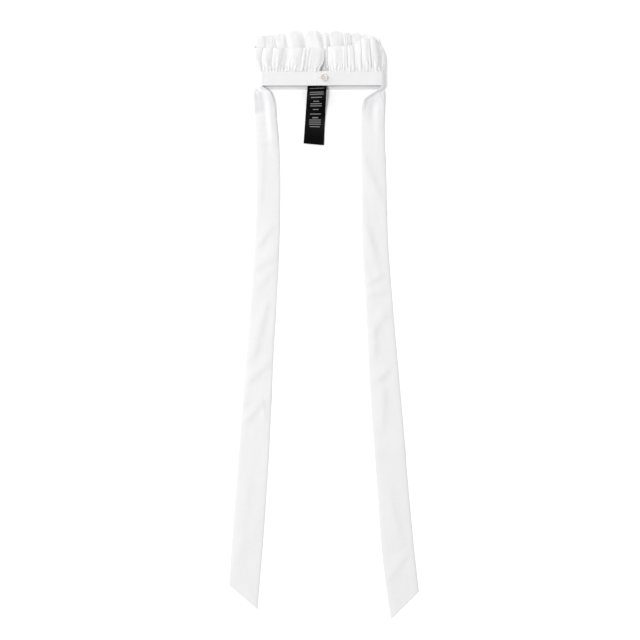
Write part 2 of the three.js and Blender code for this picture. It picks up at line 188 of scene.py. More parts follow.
# The long edges of the ties, by the distance along Y
TieEdge = namedtuple("TieEdge", "y outer inner")
LEFT_TIE_EDGES = (
    TieEdge(-6, -93.0, -79.0),
    TieEdge(-12, -96.0, -74.5),
    TieEdge(-24, -96.3, -68.5),
    TieEdge(-53, -94.9, -64.6),
    TieEdge(-95, -93.4, -60.6),
    TieEdge(-181, -93.4, -59.4),
    TieEdge(-266, -97.7, -62.2),
    TieEdge(-394, -107.6, -69.3),
    TieEdge(-521, -117.6, -75.0),
    TieEdge(-649, -127.5, -83.5),
    TieEdge(-750, -134.2, -92.0),
)
RIGHT_TIE_EDGES = (
    TieEdge(-6, 88.0, 80.0),
    TieEdge(-12, 88.6, 73.0),
    TieEdge(-24, 89.2, 59.6),
    TieEdge(-32, 89.0, 57.0),
    TieEdge(-53, 88.6, 55.7),
    TieEdge(-138, 91.2, 56.8),
    TieEdge(-223, 93.6, 57.2),
    TieEdge(-308, 99.7, 62.2),
    TieEdge(-436, 111.0, 68.4),
    TieEdge(-564, 121.6, 77.6),
    TieEdge(-692, 133.8, 88.0),
    TieEdge(-764, 142.6, 98.4),
)

# The upper end of each tie, cut across at a few distances below the band: how high the cloth
# stands at its outer edge, a quarter, a half and three quarters of the way in, and at its inner
# edge, and how much more its inner edge stands up as a turned lip
TieTop = namedtuple("TieTop", "below outer quarter half three inner lip")
LEFT_TIE_TOP = (
    TieTop(0, 3, 6, 4, 3, 2, 0),
    TieTop(4, 9, 10, 6, 6, 4, 0),
    TieTop(9, 8.5, 6.5, 3, 8, 6.5, 0),
    TieTop(15, 6.5, 4.2, 1.2, 7.5, 6.5, 0),
    TieTop(27, 5.6, 3.6, 0.8, 6, 5.2, 0),
    TieTop(33, 1.8, 1.6, 0.8, 5.2, 4.6, 0),
    TieTop(48, 0.6, 0.9, 0.6, 4, 3.4, 0),
    TieTop(68, 0.3, 0.6, 0.5, 2.6, 2.2, 0),
    TieTop(92, 0.1, 0.2, 0.3, 0.8, 0.6, 0),
    TieTop(124, 0, 0, 0, 0, 0, 0),
)
RIGHT_TIE_TOP = (
    TieTop(0, 2, 2, 2, 2, 1, 0),
    TieTop(5, 4.6, 4.8, 3.6, 1.6, 5.6, 1.6),
    TieTop(12, 5.0, 4.0, 2.4, 1.8, 6.8, 1.8),
    TieTop(19, 4.0, 3.8, 1.2, 2.6, 6.4, 1.0),
    TieTop(26, 3.4, 3.6, 0.8, 2.8, 5.2, 0.4),
    TieTop(34, 2.8, 3.2, 0.8, 2.2, 3.4, 0),
    TieTop(46, 2.2, 2.6, 0.8, 1.4, 1.6, 0),
    TieTop(62, 1.4, 1.8, 0.8, 0.4, 0.4, 0),
    TieTop(85, 0.4, 0.7, 0.4, 0.2, 0.1, 0),
    TieTop(115, 0, 0, 0, 0, 0, 0),
)

# Soft folds that the ties were left with: each runs from one point to another, by distance below
# the band and part of the way across from the left edge, and is so high and so wide
TieFold = namedtuple("TieFold", "below across to_below to_across lift width")
LEFT_TIE_FOLDS = (
    TieFold(39, 0.0, 41, 0.5, 0.6, 2.6),
    TieFold(47, 0.0, 49, 0.5, 0.6, 2.6),
    TieFold(58, 0.0, 60, 0.45, 0.5, 2.6),
    TieFold(66, 0.0, 67, 0.5, 0.6, 2.6),
    TieFold(76, -0.3, 74, 1.3, 1.0, 6),
    TieFold(80, 0.26, 168, 0.14, 0.7, 6),
    TieFold(194, 0.68, 224, 0.11, 1.2, 6),
    TieFold(234, 1.0, 254, 0.0, 1.6, 9),
    TieFold(254, 0.82, 282, 0.2, 1.0, 7),
    TieFold(303, 0.62, 334, 0.45, 1.0, 6),
    TieFold(328, 0.46, 384, 0.2, 1.5, 8),
    TieFold(386, 0.87, 413, 0.15, 1.3, 7),
    TieFold(441, -0.2, 440, 1.2, 1.3, 9),
    TieFold(445, 0.64, 472, 0.11, 1.2, 6),
    TieFold(446, 0.7, 470, 0.82, 0.8, 3),
    TieFold(555, 0.34, 690, 0.26, 0.9, 10),
    TieFold(600, 0.7, 660, 0.6, 0.6, 9),
)
RIGHT_TIE_FOLDS = (
    TieFold(8, 0.62, 18, 0.92, 1.6, 2.6),
    TieFold(100, -0.3, 99, 1.3, 1.2, 8),
    TieFold(104, 0.1, 158, 0.75, 1.2, 7),
    TieFold(176, -0.2, 178, 1.2, 0.6, 7),
    TieFold(198, 0.15, 251, 0.5, 1.2, 7),
    TieFold(262, 0.72, 276, 0.14, 1.2, 5),
    TieFold(286, 0.75, 293, 0.05, 1.1, 5),
    TieFold(315, 0.75, 347, 0.13, 1.2, 7),
    TieFold(340, 0.25, 381, 0.2, 1.2, 6),
    TieFold(398, 0.66, 415, 0.19, 1.4, 6),
    TieFold(425, 0.42, 482, 0.3, 1.3, 7),
    TieFold(516, -0.3, 512, 1.3, 1.1, 12),
    TieFold(565, 0.32, 648, 0.58, 1.1, 8),
    TieFold(676, 0.75, 700, 0.1, 0.8, 8),
)

# Each tie: its node, its side, the radius of its side fold, how far below the band it has spread out
# and settled, how long it is at its outer and its inner edge, and its tables
TieForm = namedtuple("TieForm", "node side radius spread settle outer_length inner_length edges top folds")
TIES = (
    TieForm("tie_left", -1, LEFT_RADIUS, 8, 26, 713, 750, LEFT_TIE_EDGES, LEFT_TIE_TOP, LEFT_TIE_FOLDS),
    TieForm("tie_right", 1, RIGHT_RADIUS, 19, 26, 722, 764, RIGHT_TIE_EDGES, RIGHT_TIE_TOP, RIGHT_TIE_FOLDS),
)

# How far the outer side of a tie bunches up at the band's lower corner
TIE_SHOULDER = 5.0
# The angles round a side fold at which a tie's outer and inner edge are sewn in
TIE_SEWN_FROM = 0.55
TIE_SEWN_TO = 2.55
# The part of a tie's length at which its end starts to slant
TIE_SLANT = 0.744
# How far a tie's edges are rounded off, and how deep, how wide and how far in its seam's groove is
TIE_EDGE = 0.9
TIE_GROOVE = 0.1
TIE_GROOVE_REACH = 0.7
TIE_GROOVE_IN = 1.8

# The label's middle line, from inside the band to its lower end
LabelPoint = namedtuple("LabelPoint", "y z")
LABEL_LINE = (
    LabelPoint(4, 2.4),
    LabelPoint(-6, 6.2),
    LabelPoint(-14, 10.5),
    LabelPoint(-24, 10.0),
    LabelPoint(-40, 5.6),
    LabelPoint(-58, 1.7),
    LabelPoint(-72, 1.0),
    LabelPoint(-86.4, 2.2),
)
LABEL_WIDTH = 28.9
LABEL_SHIFT = -6.1
# How far the label slants sideways, narrows towards its top, droops at its lower right corner, and
# stands up at its right side
LABEL_SLANT = 0.06
LABEL_NARROWING = 0.07
LABEL_CORNER_DROP = 2.6
LABEL_TILT = 6.0

# The label's plain rules: how far down it each lies, and how far it reaches to either side
LabelRule = namedtuple("LabelRule", "down reach")
LABEL_RULES = (
    LabelRule(14, 11),
    LabelRule(19.5, 10),
    LabelRule(22.5, 10),
    LabelRule(26.5, 8),
    LabelRule(32, 4.5),
    LabelRule(35, 8.5),
    LabelRule(38, 8.5),
    LabelRule(43, 4),
    LabelRule(49, 8),
    LabelRule(54, 4.5),
    LabelRule(57, 8.5),
    LabelRule(60, 8.5),
    LabelRule(63, 8.5),
    LabelRule(66, 7.5),
)
LABEL_RULE = 1.0

# The button, its four holes, and the buttonhole, whose middle lies a little to the left
BUTTON_X = 3.2
BUTTON_Y = 3.4
BUTTON_LIFT = 1.2
BUTTON_BASE = BAND_WALL + 2 * RIGHT_RADIUS + BUTTON_LIFT
# The button's outline as radius and height: flat below, a rounded rim, and a dished middle
BUTTON_PROFILE = (
    (0.6, 0.0), (3.4, 0.0), (4.3, 0.18), (4.9, 0.5), (5.2, 1.0), (5.25, 1.4), (5.15, 1.85), (4.9, 2.15),
    (4.55, 2.28), (4.2, 2.3), (3.9, 2.2), (3.6, 1.95), (3.3, 1.72), (2.8, 1.62), (0.6, 1.6),
)
HOLE_SPREAD = 1.45
HOLE_RADIUS = 0.72
BUTTONHOLE_LENGTH = 12.5
BUTTONHOLE_SHIFT = 0.6
# How far the stitches' middles lie off the cloth
STITCH_RISE = 0.02
# The part of its pitch that a topstitch shows of its length
STITCH_SHOWN = 0.82

# The camera stands straight over the table, where the photograph's middle falls. One of its pixels
# is this many mm on the table.
PIXEL = 1.42
PHOTO_SIDE = 640
CAMERA_X = -2.6
CAMERA_Y = -336.8
CAMERA_HEIGHT = 2000.0
SENSOR = 36.0
# How far the floor reaches to each side, in metres, and the colour of the lamps' light
FLOOR_REACH = 6.0
LAMP_COLOUR = (1.0, 0.995, 0.985)


def srgb(code):
    """A hex sRGB colour as linear RGBA."""
    parts = [int(code[i : i + 2], 16) / 255 for i in (0, 2, 4)]
    return [c / 12.92 if c <= 0.04045 else ((c + 0.055) / 1.055) ** 2.4 for c in parts] + [1.0]


def mm_size(name, description, default, low, high):
    """A length's property, given in mm and kept in metres as Blender's lengths are."""
    return FloatProperty(
        name=name,
        description=description,
        unit="LENGTH",
        precision=5,
        default=default * MM,
        min=low * MM,
        max=high * MM,
    )


def swatch(name, description, code):
    """A colour's property."""
    return FloatVectorProperty(
        name=name, description=description, subtype="COLOR", size=4, min=0, max=1, default=srgb(code)
    )


class CollarSizes(bpy.types.PropertyGroup):
    """Sizes of the cloth and the sewing"""

    frill_cloth: mm_size("Frill cloth", "Thickness of the frill's voile", 0.4, 0.1, 1)
    frill_hem: mm_size("Frill hem", "Width of the frill's rolled hem", 2.4, 0.5, 8)
    gather_pitch: mm_size("Gather pitch", "Distance between the gathers at the seam", 4.2, 2, 12)
    gather_height: mm_size("Gather height", "Height of the gathers near the seam", 3.7, 0, 5)
    tie_cloth: mm_size("Tie thickness", "Thickness of the flat tie", 1.3, 0.4, 3)
    stitch_length: mm_size("Stitch length", "Distance from one topstitch to the next", 2.1, 0.8, 5)
    stitch_edge: mm_size("Stitch distance", "Distance of the topstitching from an edge", 4.2, 1, 6)
    thread: mm_size("Thread", "Diameter of the sewing thread", 0.3, 0.1, 1)
    seed: IntProperty(name="Seed", description="Seed of the small irregularities", default=7, min=0)


class CollarColours(bpy.types.PropertyGroup):
    """Colours of the cloth, the thread, the button and the label"""

    cotton: swatch("Cotton", "Colour of the band and ties", "F0F0F2")
    voile: swatch("Voile", "Colour of the frill", "FDFDFE")
    thread: swatch("Thread", "Colour of the thread", "ECEBEA")
    shell: swatch("Shell", "Colour of the button", "DDD8D0")
    satin: swatch("Satin", "Colour of the label", "050506")
    rules: swatch("Label rules", "Colour of the label's plain rules", "8A8A8C")


def sizes_in_mm():
    """The panel's sizes, their lengths in mm."""
    group = bpy.context.scene.collar_sizes
    lengths = {name: getattr(group, name) / MM for name in group.__annotations__ if name != "seed"}
    return SimpleNamespace(seed=group.seed, **lengths)


def ease(t):
    t = np.clip(t, 0, 1)
    return t * t * (3 - 2 * t)


def lerp(a, b, t):
    return a + (b - a) * t


def bell(places, middle, reach, power=2):
    """1 at the middle, dying away beyond its reach. A higher power gives it a flatter top."""
    return np.exp(-(((places - middle) / reach) ** power))


def rounded_edge(distance, radius, thinnest=0.12):
    """The part of its thickness that a sheet has, so far from an edge that is rounded off."""
    t = np.clip(distance / radius, 0, 1)
    return np.maximum(np.sqrt(t * (2 - t)), thinnest)


def table_columns(rows, key, column, places):
    """A table's keys and values in rising order, and the row before each place."""
    keys = np.array([getattr(row, key) for row in rows], float)
    values = np.array([getattr(row, column) for row in rows], float)
    if keys[0] > keys[-1]:
        keys, values = keys[::-1], values[::-1]
    return keys, values, np.clip(np.searchsorted(keys, places) - 1, 0, len(keys) - 2)


def eased_table(rows, key, column, places):
    """Reads a column at some places, easing from row to row."""
    keys, values, k = table_columns(rows, key, column, places)
    return lerp(values[k], values[k + 1], ease((places - keys[k]) / (keys[k + 1] - keys[k])))


def curved_table(rows, key, column, places):
    """Reads a column at some places, along a smooth curve through the rows."""
    keys, values, k = table_columns(rows, key, column, places)
    slopes = np.gradient(values, keys)
    span = keys[k + 1] - keys[k]
    t = np.clip((places - keys[k]) / span, 0, 1)
    leaving = (t**3 - 2 * t**2 + t) * span * slopes[k]
    arriving = (t**3 - t**2) * span * slopes[k + 1]
    return lerp(values[k], values[k + 1], 3 * t**2 - 2 * t**3) + leaving + arriving


def soft_noise(x, y, seed):
    """Smooth random heights from -1 to 1 over a plane, with a feature about 1 unit wide."""
    size = 64
    lattice = np.random.RandomState(seed).uniform(-1, 1, (size, size))
    x, y = np.broadcast_arrays(np.asarray(x, float), np.asarray(y, float))
    i, j = np.floor(x).astype(int), np.floor(y).astype(int)
    u, v = ease(x - i), ease(y - j)
    i0, i1, j0, j1 = i % size, (i + 1) % size, j % size, (j + 1) % size
    low = lerp(lattice[i0, j0], lattice[i1, j0], u)
    high = lerp(lattice[i0, j1], lattice[i1, j1], u)
    return lerp(low, high, v)


def rumple(x, y, seed, height=1.0, along=1.0, across=1.0):
    """Small random unevenness of the cloth, so high, and so long along and across."""
    return height * soft_noise(x / along, y / across, seed)


def neck_line(run):
    """The band's middle line at some runs.

    Gives x, z, the outward normal's x and z, and front, which is 0 at the back and 1 at the front.
    """
    side = np.where(run < 0, -1.0, 1.0)
    radius = np.where(run < 0, LEFT_RADIUS, RIGHT_RADIUS)
    flat = FOLD_REACH - radius
    past = np.abs(run) - flat
    front = np.clip(past / (math.pi * radius), 0, 1)
    beyond = np.maximum(past - math.pi * radius, 0)
    # Round the fold: along the bottom, round a corner, up the side, round a corner, back along the top
    straight, bend = radius - FOLD_CORNER, math.pi / 2 * FOLD_CORNER
    way = front * (4 * straight + 2 * bend)
    turn = np.clip((way - straight) / FOLD_CORNER, 0, math.pi / 2)
    turn = turn + np.clip((way - 3 * straight - bend) / FOLD_CORNER, 0, math.pi / 2)
    out = np.clip(way, 0, straight) - np.clip(way - 3 * straight - 2 * bend, 0, straight)
    up = np.clip(way - straight - bend, 0, 2 * straight)
    x = np.where(past <= 0, run, side * (flat + out + FOLD_CORNER * np.sin(turn) - beyond))
    z = BAND_WALL / 2 + FOLD_CORNER * (1 - np.cos(turn)) + up
    return x, z, side * np.sin(turn), -np.cos(turn), front


def band_middle(front):
    """The Y of the band's middle, which lies a little higher at the front."""
    return FRONT_SHIFT * ease(front)


def wave_scale(pitch_mm):
    """The scale at which a wave texture's bands are so far apart. At scale 1 it has 3.18 to a unit."""
    return 1 / (MM * pitch_mm * 3.18)


def link_mesh(name, vertices, faces, uvs=None):
    """A mesh object from points in mm, with smooth faces that point outwards."""
    mesh = bpy.data.meshes.new(name)
    mesh.from_pydata((np.asarray(vertices) * MM).tolist(), [], faces)
    if uvs is not None:
        layer = mesh.uv_layers.new(name="cloth")
        loops = np.empty(len(mesh.loops), int)
        mesh.loops.foreach_get("vertex_index", loops)
        layer.data.foreach_set("uv", (np.asarray(uvs, float) * MM)[loops].ravel())
    mesh.polygons.foreach_set("use_smooth", [True] * len(mesh.polygons))
    if signed_volume(mesh) < 0:
        mesh.flip_normals()
    mesh.update()
    piece = bpy.data.objects.new(name, mesh)
    bpy.context.collection.objects.link(piece)
    return piece


def signed_volume(mesh):
    mesh.calc_loop_triangles()
    corners = np.empty(len(mesh.loop_triangles) * 3, int)
    mesh.loop_triangles.foreach_get("vertices", corners)
    points = np.empty(len(mesh.vertices) * 3)
    mesh.vertices.foreach_get("co", points)
    a, b, c = points.reshape(-1, 3)[corners.reshape(-1, 3)].transpose(1, 0, 2)
    return float((a * np.cross(b, c)).sum() / 6)


def loft(name, rings, uvs):
    """Joins closed cross-sections into one closed body. Each ring runs over the cloth and back under it."""
    stations, around = rings.shape[:2]
    number = np.arange(stations * around).reshape(stations, around)
    turned = np.roll(number, -1, axis=1)
    quads = np.stack([number[:-1], turned[:-1], turned[1:], number[1:]], axis=-1).reshape(-1, 4).tolist()
    for ring, order in ((number[0], -1), (number[-1], 1)):
        for j in range(around // 2 - 1):
            corners = [ring[j], ring[j + 1], ring[around - 2 - j], ring[around - 1 - j]]
            quads.append([int(v) for v in corners[::order]])
    return link_mesh(name, rings.reshape(-1, 3), quads, uvs.reshape(-1, 2))


def sheet_normals(middle):
    """Unit normals of a grid of points."""
    across = np.gradient(middle, axis=0)
    along = np.gradient(middle, axis=1)
    normals = np.cross(across, along)
    return normals / np.maximum(np.linalg.norm(normals, axis=2, keepdims=True), 1e-9)


def two_sided(name, middle, half, uvs):
    """A closed sheet from its middle surface and half of its thickness at each point. uvs are in mm."""
    normals = sheet_normals(middle)
    upper = middle + normals * half[..., None]
    lower = middle - normals * half[..., None]
    rings = np.concatenate([upper, lower[:, ::-1]], axis=1)
    return loft(name, rings, np.concatenate([uvs, uvs[:, ::-1]], axis=1))


def finish_piece(piece, material, slot, *nodes):
    """Gives a piece its material, hangs it under the frame's root, and hides the frame's parts that it stands
    for.
    """
    piece.data.materials.clear()
    piece.data.materials.append(material)
    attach(piece, "root")
    if nodes:
        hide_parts(*nodes)


def add_node(tree, kind, settings=None, **links):
    """Adds a node, sets its values, and links its inputs to other nodes' sockets."""
    node = tree.nodes.new(kind)
    for key, value in (settings or {}).items():
        if hasattr(node, key):
            setattr(node, key, value)
        else:
            node.inputs[int(key[1:]) if key[1:].isdigit() else key].default_value = value
    for key, socket in links.items():
        place = int(key[1:]) if key[1:].isdigit() else key.replace("_", " ")
        tree.links.new(socket, node.inputs[place])
    return node


def new_material(name, colour, roughness, **sockets):
    """A material with its shader's own values set, its tree and its shader."""
    material = bpy.data.materials.new(name)
    material.use_nodes = True
    shader = material.node_tree.nodes["Principled BSDF"]
    shader.inputs["Base Color"].default_value = colour
    shader.inputs["Roughness"].default_value = roughness
    for key, value in sockets.items():
        shader.inputs[key.replace("_", " ")].default_value = value
    return material, material.node_tree, shader


def woven_bump(tree, thread_mm, depth_mm, rumple_mm, rumple_depth_mm):
    """Plain weave on the piece's own UV map, over small crumples of the cloth."""
    uv = add_node(tree, "ShaderNodeUVMap", {"uv_map": "cloth"}).outputs["UV"]
    # A thread passes over its neighbour and under the next, so a band is two threads wide
    bands = {"wave_type": "BANDS", "Scale": wave_scale(2 * thread_mm), "Distortion": 0.6, "Detail": 1.0}
    warp, weft = (
        add_node(tree, "ShaderNodeTexWave", {**bands, "bands_direction": direction}, Vector=uv).outputs["Fac"]
        for direction in ("X", "Y")
    )
    weave = add_node(tree, "ShaderNodeMath", {"operation": "MAXIMUM"}, _0=warp, _1=weft).outputs["Value"]
    crumples = {"Scale": 1 / (MM * rumple_mm), "Detail": 3.0, "Roughness": 0.5}
    cloudy = add_node(tree, "ShaderNodeTexNoise", crumples, Vector=uv)
    low = add_node(tree, "ShaderNodeBump", {"Distance": rumple_depth_mm * MM}, Height=cloudy.outputs["Fac"])
    fine = add_node(
        tree, "ShaderNodeBump", {"Distance": depth_mm * MM}, Height=weave, Normal=low.outputs["Normal"]
    )
    return fine.outputs["Normal"], weave, uv


def woven_tone(tree, shader, colour, weave, uv):
    """Lets the thread crossings and slow, faint clouding vary the cloth's own colour by a percent or two."""
    cloud = add_node(tree, "ShaderNodeTexNoise", {"Scale": 1 / (MM * 16.7), "Detail": 2.0}, Vector=uv)
    blend = add_node(tree, "ShaderNodeMath", {"operation": "MULTIPLY"}, _0=cloud.outputs["Fac"], _1=weave)
    darker = [c * 0.955 for c in colour[:3]] + [1.0]
    mix = add_node(
        tree, "ShaderNodeMix", {"data_type": "RGBA", "_6": darker, "_7": colour}, _0=blend.outputs["Value"]
    )
    tree.links.new(mix.outputs[2], shader.inputs["Base Color"])


def weave_into(material, colour, thread_mm, depth_mm, rumple_mm, rumple_depth_mm):
    """Gives a cloth its weave, its crumples and its faint clouding."""
    tree = material.node_tree
    shader = tree.nodes["Principled BSDF"]
    normal, weave, uv = woven_bump(tree, thread_mm, depth_mm, rumple_mm, rumple_depth_mm)
    tree.links.new(normal, shader.inputs["Normal"])
    woven_tone(tree, shader, colour, weave, uv)


def cotton_poplin(colours):
    # Bleached cotton poplin, woven tight and pressed: matt, faintly ribbed by its threads, with a
    # soft bloom at grazing angles from loose fibre ends
    material, _, _ = new_material(
        "bleached cotton poplin",
        colours.cotton,
        roughness=0.85,
        Sheen_Weight=0.25,
        Sheen_Roughness=0.5,
        Specular_IOR_Level=0.25,
    )
    # Poplin threads are 0.2 mm apart, drawn at 0.35 mm so that they show at all
    weave_into(
        material, colours.cotton, thread_mm=0.35, depth_mm=0.03, rumple_mm=9.0, rumple_depth_mm=0.25
    )
    return material


def cotton_voile(colours):
    # Cotton voile, a thin open plain weave that was gathered while crisp: light glows a little
    # through it, so the inside of a fold is never black
    material, _, _ = new_material(
        "gathered cotton voile",
        colours.voile,
        roughness=0.8,
        Sheen_Weight=0.3,
        Sheen_Roughness=0.4,
        Specular_IOR_Level=0.25,
        Subsurface_Weight=0.35,
        Subsurface_Radius=(1.0, 1.0, 1.0),
        Subsurface_Scale=0.0025,
    )
    # Voile threads are 0.3 mm apart, drawn at 0.4 mm so that they show at all
    weave_into(
        material, colours.voile, thread_mm=0.4, depth_mm=0.025, rumple_mm=5.0, rumple_depth_mm=0.2
    )
    return material


def sewing_thread(colours):
    # Twisted polyester sewing thread: its plies, 0.35 mm apart, catch the light as a slanting rib
    material, tree, shader = new_material(
        "twisted sewing thread", colours.thread, roughness=0.6, Sheen_Weight=0.2, Specular_IOR_Level=0.3
    )
    coords = add_node(tree, "ShaderNodeTexCoord")
    plies = {"wave_type": "BANDS", "bands_direction": "DIAGONAL", "Scale": wave_scale(0.35)}
    twist = add_node(tree, "ShaderNodeTexWave", {**plies, "Distortion": 0.4}, Vector=coords.outputs["Object"])
    bump = add_node(
        tree, "ShaderNodeBump", {"Strength": 0.5, "Distance": 0.06 * MM}, Height=twist.outputs["Fac"]
    )
    tree.links.new(bump.outputs["Normal"], shader.inputs["Normal"])
    return material


def pearl_shell(colours):
    # A button turned from trochus shell and polished: growth lines about 2.6 mm apart drift from
    # cream to grey and pink, under a clear gloss
    material, tree, shader = new_material(
        "polished trochus shell",
        colours.shell,
        roughness=0.22,
        Coat_Weight=0.6,
        Coat_Roughness=0.08,
        IOR=1.53,
    )
    coords = add_node(tree, "ShaderNodeTexCoord")
    lines = {"wave_type": "BANDS", "bands_direction": "Y", "Scale": wave_scale(2.62), "Distortion": 9.0}
    layers = add_node(tree, "ShaderNodeTexWave", {**lines, "Detail": 3.0}, Vector=coords.outputs["Object"])
    ramp = add_node(tree, "ShaderNodeValToRGB", Fac=layers.outputs["Fac"])
    ramp.color_ramp.elements[0].color = srgb("D3CDC6")
    ramp.color_ramp.elements[1].color = srgb("EBE6DF")
    ramp.color_ramp.elements.new(0.5).color = colours.shell
    tree.links.new(ramp.outputs["Color"], shader.inputs["Base Color"])
    bump = add_node(
        tree, "ShaderNodeBump", {"Strength": 0.2, "Distance": 0.05 * MM}, Height=layers.outputs["Fac"]
    )
    tree.links.new(bump.outputs["Normal"], shader.inputs["Normal"])
    return material


def satin_ribbon(colours):
    # Black polyester satin ribbon: long floats run down it, so it is smooth and softly glossy
    material, tree, shader = new_material(
        "black satin ribbon", colours.satin, roughness=0.38, Specular_IOR_Level=0.04
    )
    coords = add_node(tree, "ShaderNodeUVMap", {"uv_map": "cloth"})
    # The floats are 0.1 mm apart, drawn at 0.45 mm so that they show at all
    ribs = {"wave_type": "BANDS", "bands_direction": "X", "Scale": wave_scale(0.45), "Distortion": 0.5}
    floats = add_node(tree, "ShaderNodeTexWave", {**ribs, "Detail": 1.0}, Vector=coords.outputs["UV"])
    bump = add_node(
        tree, "ShaderNodeBump", {"Strength": 0.6, "Distance": 0.03 * MM}, Height=floats.outputs["Fac"]
    )
    tree.links.new(bump.outputs["Normal"], shader.inputs["Normal"])
    return material


def frill_columns(pitch_mm=0.55):
    """For each station round the frill: its crease number and its part of the way to the next crease."""
    number, part = [], []
    for k in range(len(CREASES) - 1):
        steps = max(10, int((CREASES[k + 1].seam - CREASES[k].seam) / pitch_mm))
        number += [k] * steps
        part += [step / steps for step in range(steps)]
    return np.array(number + [len(CREASES) - 2])[:, None], np.array(part + [1.0])[:, None]


def gather_heights(seam_run, down, sizes):
    """The small gathers that the seam draws up, each of its own height and length."""
    random = np.random.RandomState(sizes.seed)
    edges = [CREASES[0].seam]
    for before, after in zip(CREASES, CREASES[1:]):
        span = after.seam - before.seam
        count = max(1, round(span / sizes.gather_pitch))
        inner = np.arange(1, count) / count + random.uniform(-0.16, 0.16, count - 1) / count
        edges += [*(before.seam + inner * span), after.seam]
    edges = np.array(edges)
    widths = np.diff(edges)
    tall = random.uniform(0.7, 1.3, len(widths)) * sizes.gather_height
    # Each gather ends soon after the seam, and at the front most run on faintly through their puff
    fade = random.uniform(0.24, 0.46, len(widths))[:, None]
    runs_on = random.uniform(-0.1, 0.5, len(widths)).clip(0)[:, None]
    runs_on = np.where(np.abs(edges[1:, None]) < FOLD_REACH, 0, runs_on)
    ending = lerp(1 - ease(down / fade), 1 - ease(down / 1.3), runs_on)
    near_seam = 0.5 + 0.5 * ease(down / 0.08)
    heights = (tall * widths / sizes.gather_pitch)[:, None] * near_seam * ending
    valleys = np.minimum(np.vstack([heights[:1], heights]), np.vstack([heights, heights[-1:]])) * 0.7
    cell = np.clip(np.searchsorted(edges, seam_run[:, 0], side="right") - 1, 0, len(widths) - 1)
    inside = np.clip((seam_run - edges[cell, None]) / widths[cell, None], 0, 1)
    # The valleys between them are wide at the seam and narrow to a point
    ridge = np.sin(math.pi * inside) ** lerp(1.25, 0.5, ease(down / 0.3)) * heights[cell]
    return ridge - lerp(valleys[cell], valleys[cell + 1], inside)


def puff_heights(puff, part, run, down, front, sizes):
    """How far the frill's puffs, its crinkles and its small unevenness stand off its course."""
    # The puffs are round at the back, and flat-topped between narrow creases at the front
    bulge = np.sin(math.pi * part) ** lerp(1.0 + 0.5 * down, 0.55 + 0.1 * down, ease(front))
    # At the back each puff closes like a pillow towards its free edge
    closing = 1 - BACK_CLOSING * (1 - ease(front)) * ease((down - 0.6) / 0.4)
    uneven = 1 + rumple(run, down, sizes.seed + 2, height=0.12, along=9, across=1 / 2)
    height = PUFF_KEPT * puff * uneven * bulge * closing - FRILL_VALLEY
    height = height * (0.12 + 0.88 * ease(down / 0.24))
    for crinkle in CRINKLES:
        near = bell(run, crinkle.run, crinkle.reach, 4) * ease((down - crinkle.start) / 0.12)
        pleat = 1 - np.abs(np.sin(math.pi * (run - crinkle.run) / crinkle.pitch))
        height = height - crinkle.depth * near * (pleat - 0.55)
    dents = rumple(run, down, sizes.seed + 3, height=0.65, along=5.2, across=1 / 2.4)
    small = rumple(run, down, sizes.seed + 4, height=0.2, along=2.2, across=1 / 9)
    return height + dents * ease(down / 0.3) + small


def frill_depths(edge_run, part, draw, sizes):
    """How deep each column of the frill is: less beside its creases and at the right side fold."""
    depth = eased_table(FRILL_DEPTH, "run", "depth", edge_run) - draw * np.abs(2 * part - 1) ** 2.2
    depth = depth - FRILL_CORNER * bell(edge_run, FRILL_CORNER_RUN, FRILL_CORNER_REACH)
    return depth + rumple(edge_run, 0.5, sizes.seed + 5, height=0.5, along=4.5)


def frill_lift(run, down, front, near_end, sizes):
    """How much higher than its course the frill lies."""
    back = 1 - ease(front)
    lift = back * FRILL_VALLEY * (0.3 + 0.9 * ease(down / 0.24)) + front * FRILL_RISE * down
    curl = rumple(run, 0.3, sizes.seed + 6, height=0.5, along=7) * ease((down - 0.8) / 0.2)
    billow = BILLOW * bell(run, BILLOW_RUN, BILLOW_REACH) * np.sin(math.pi * down) ** 2
    return lift + curl + back * billow - END_DROOP * near_end * ease(down / 0.6)


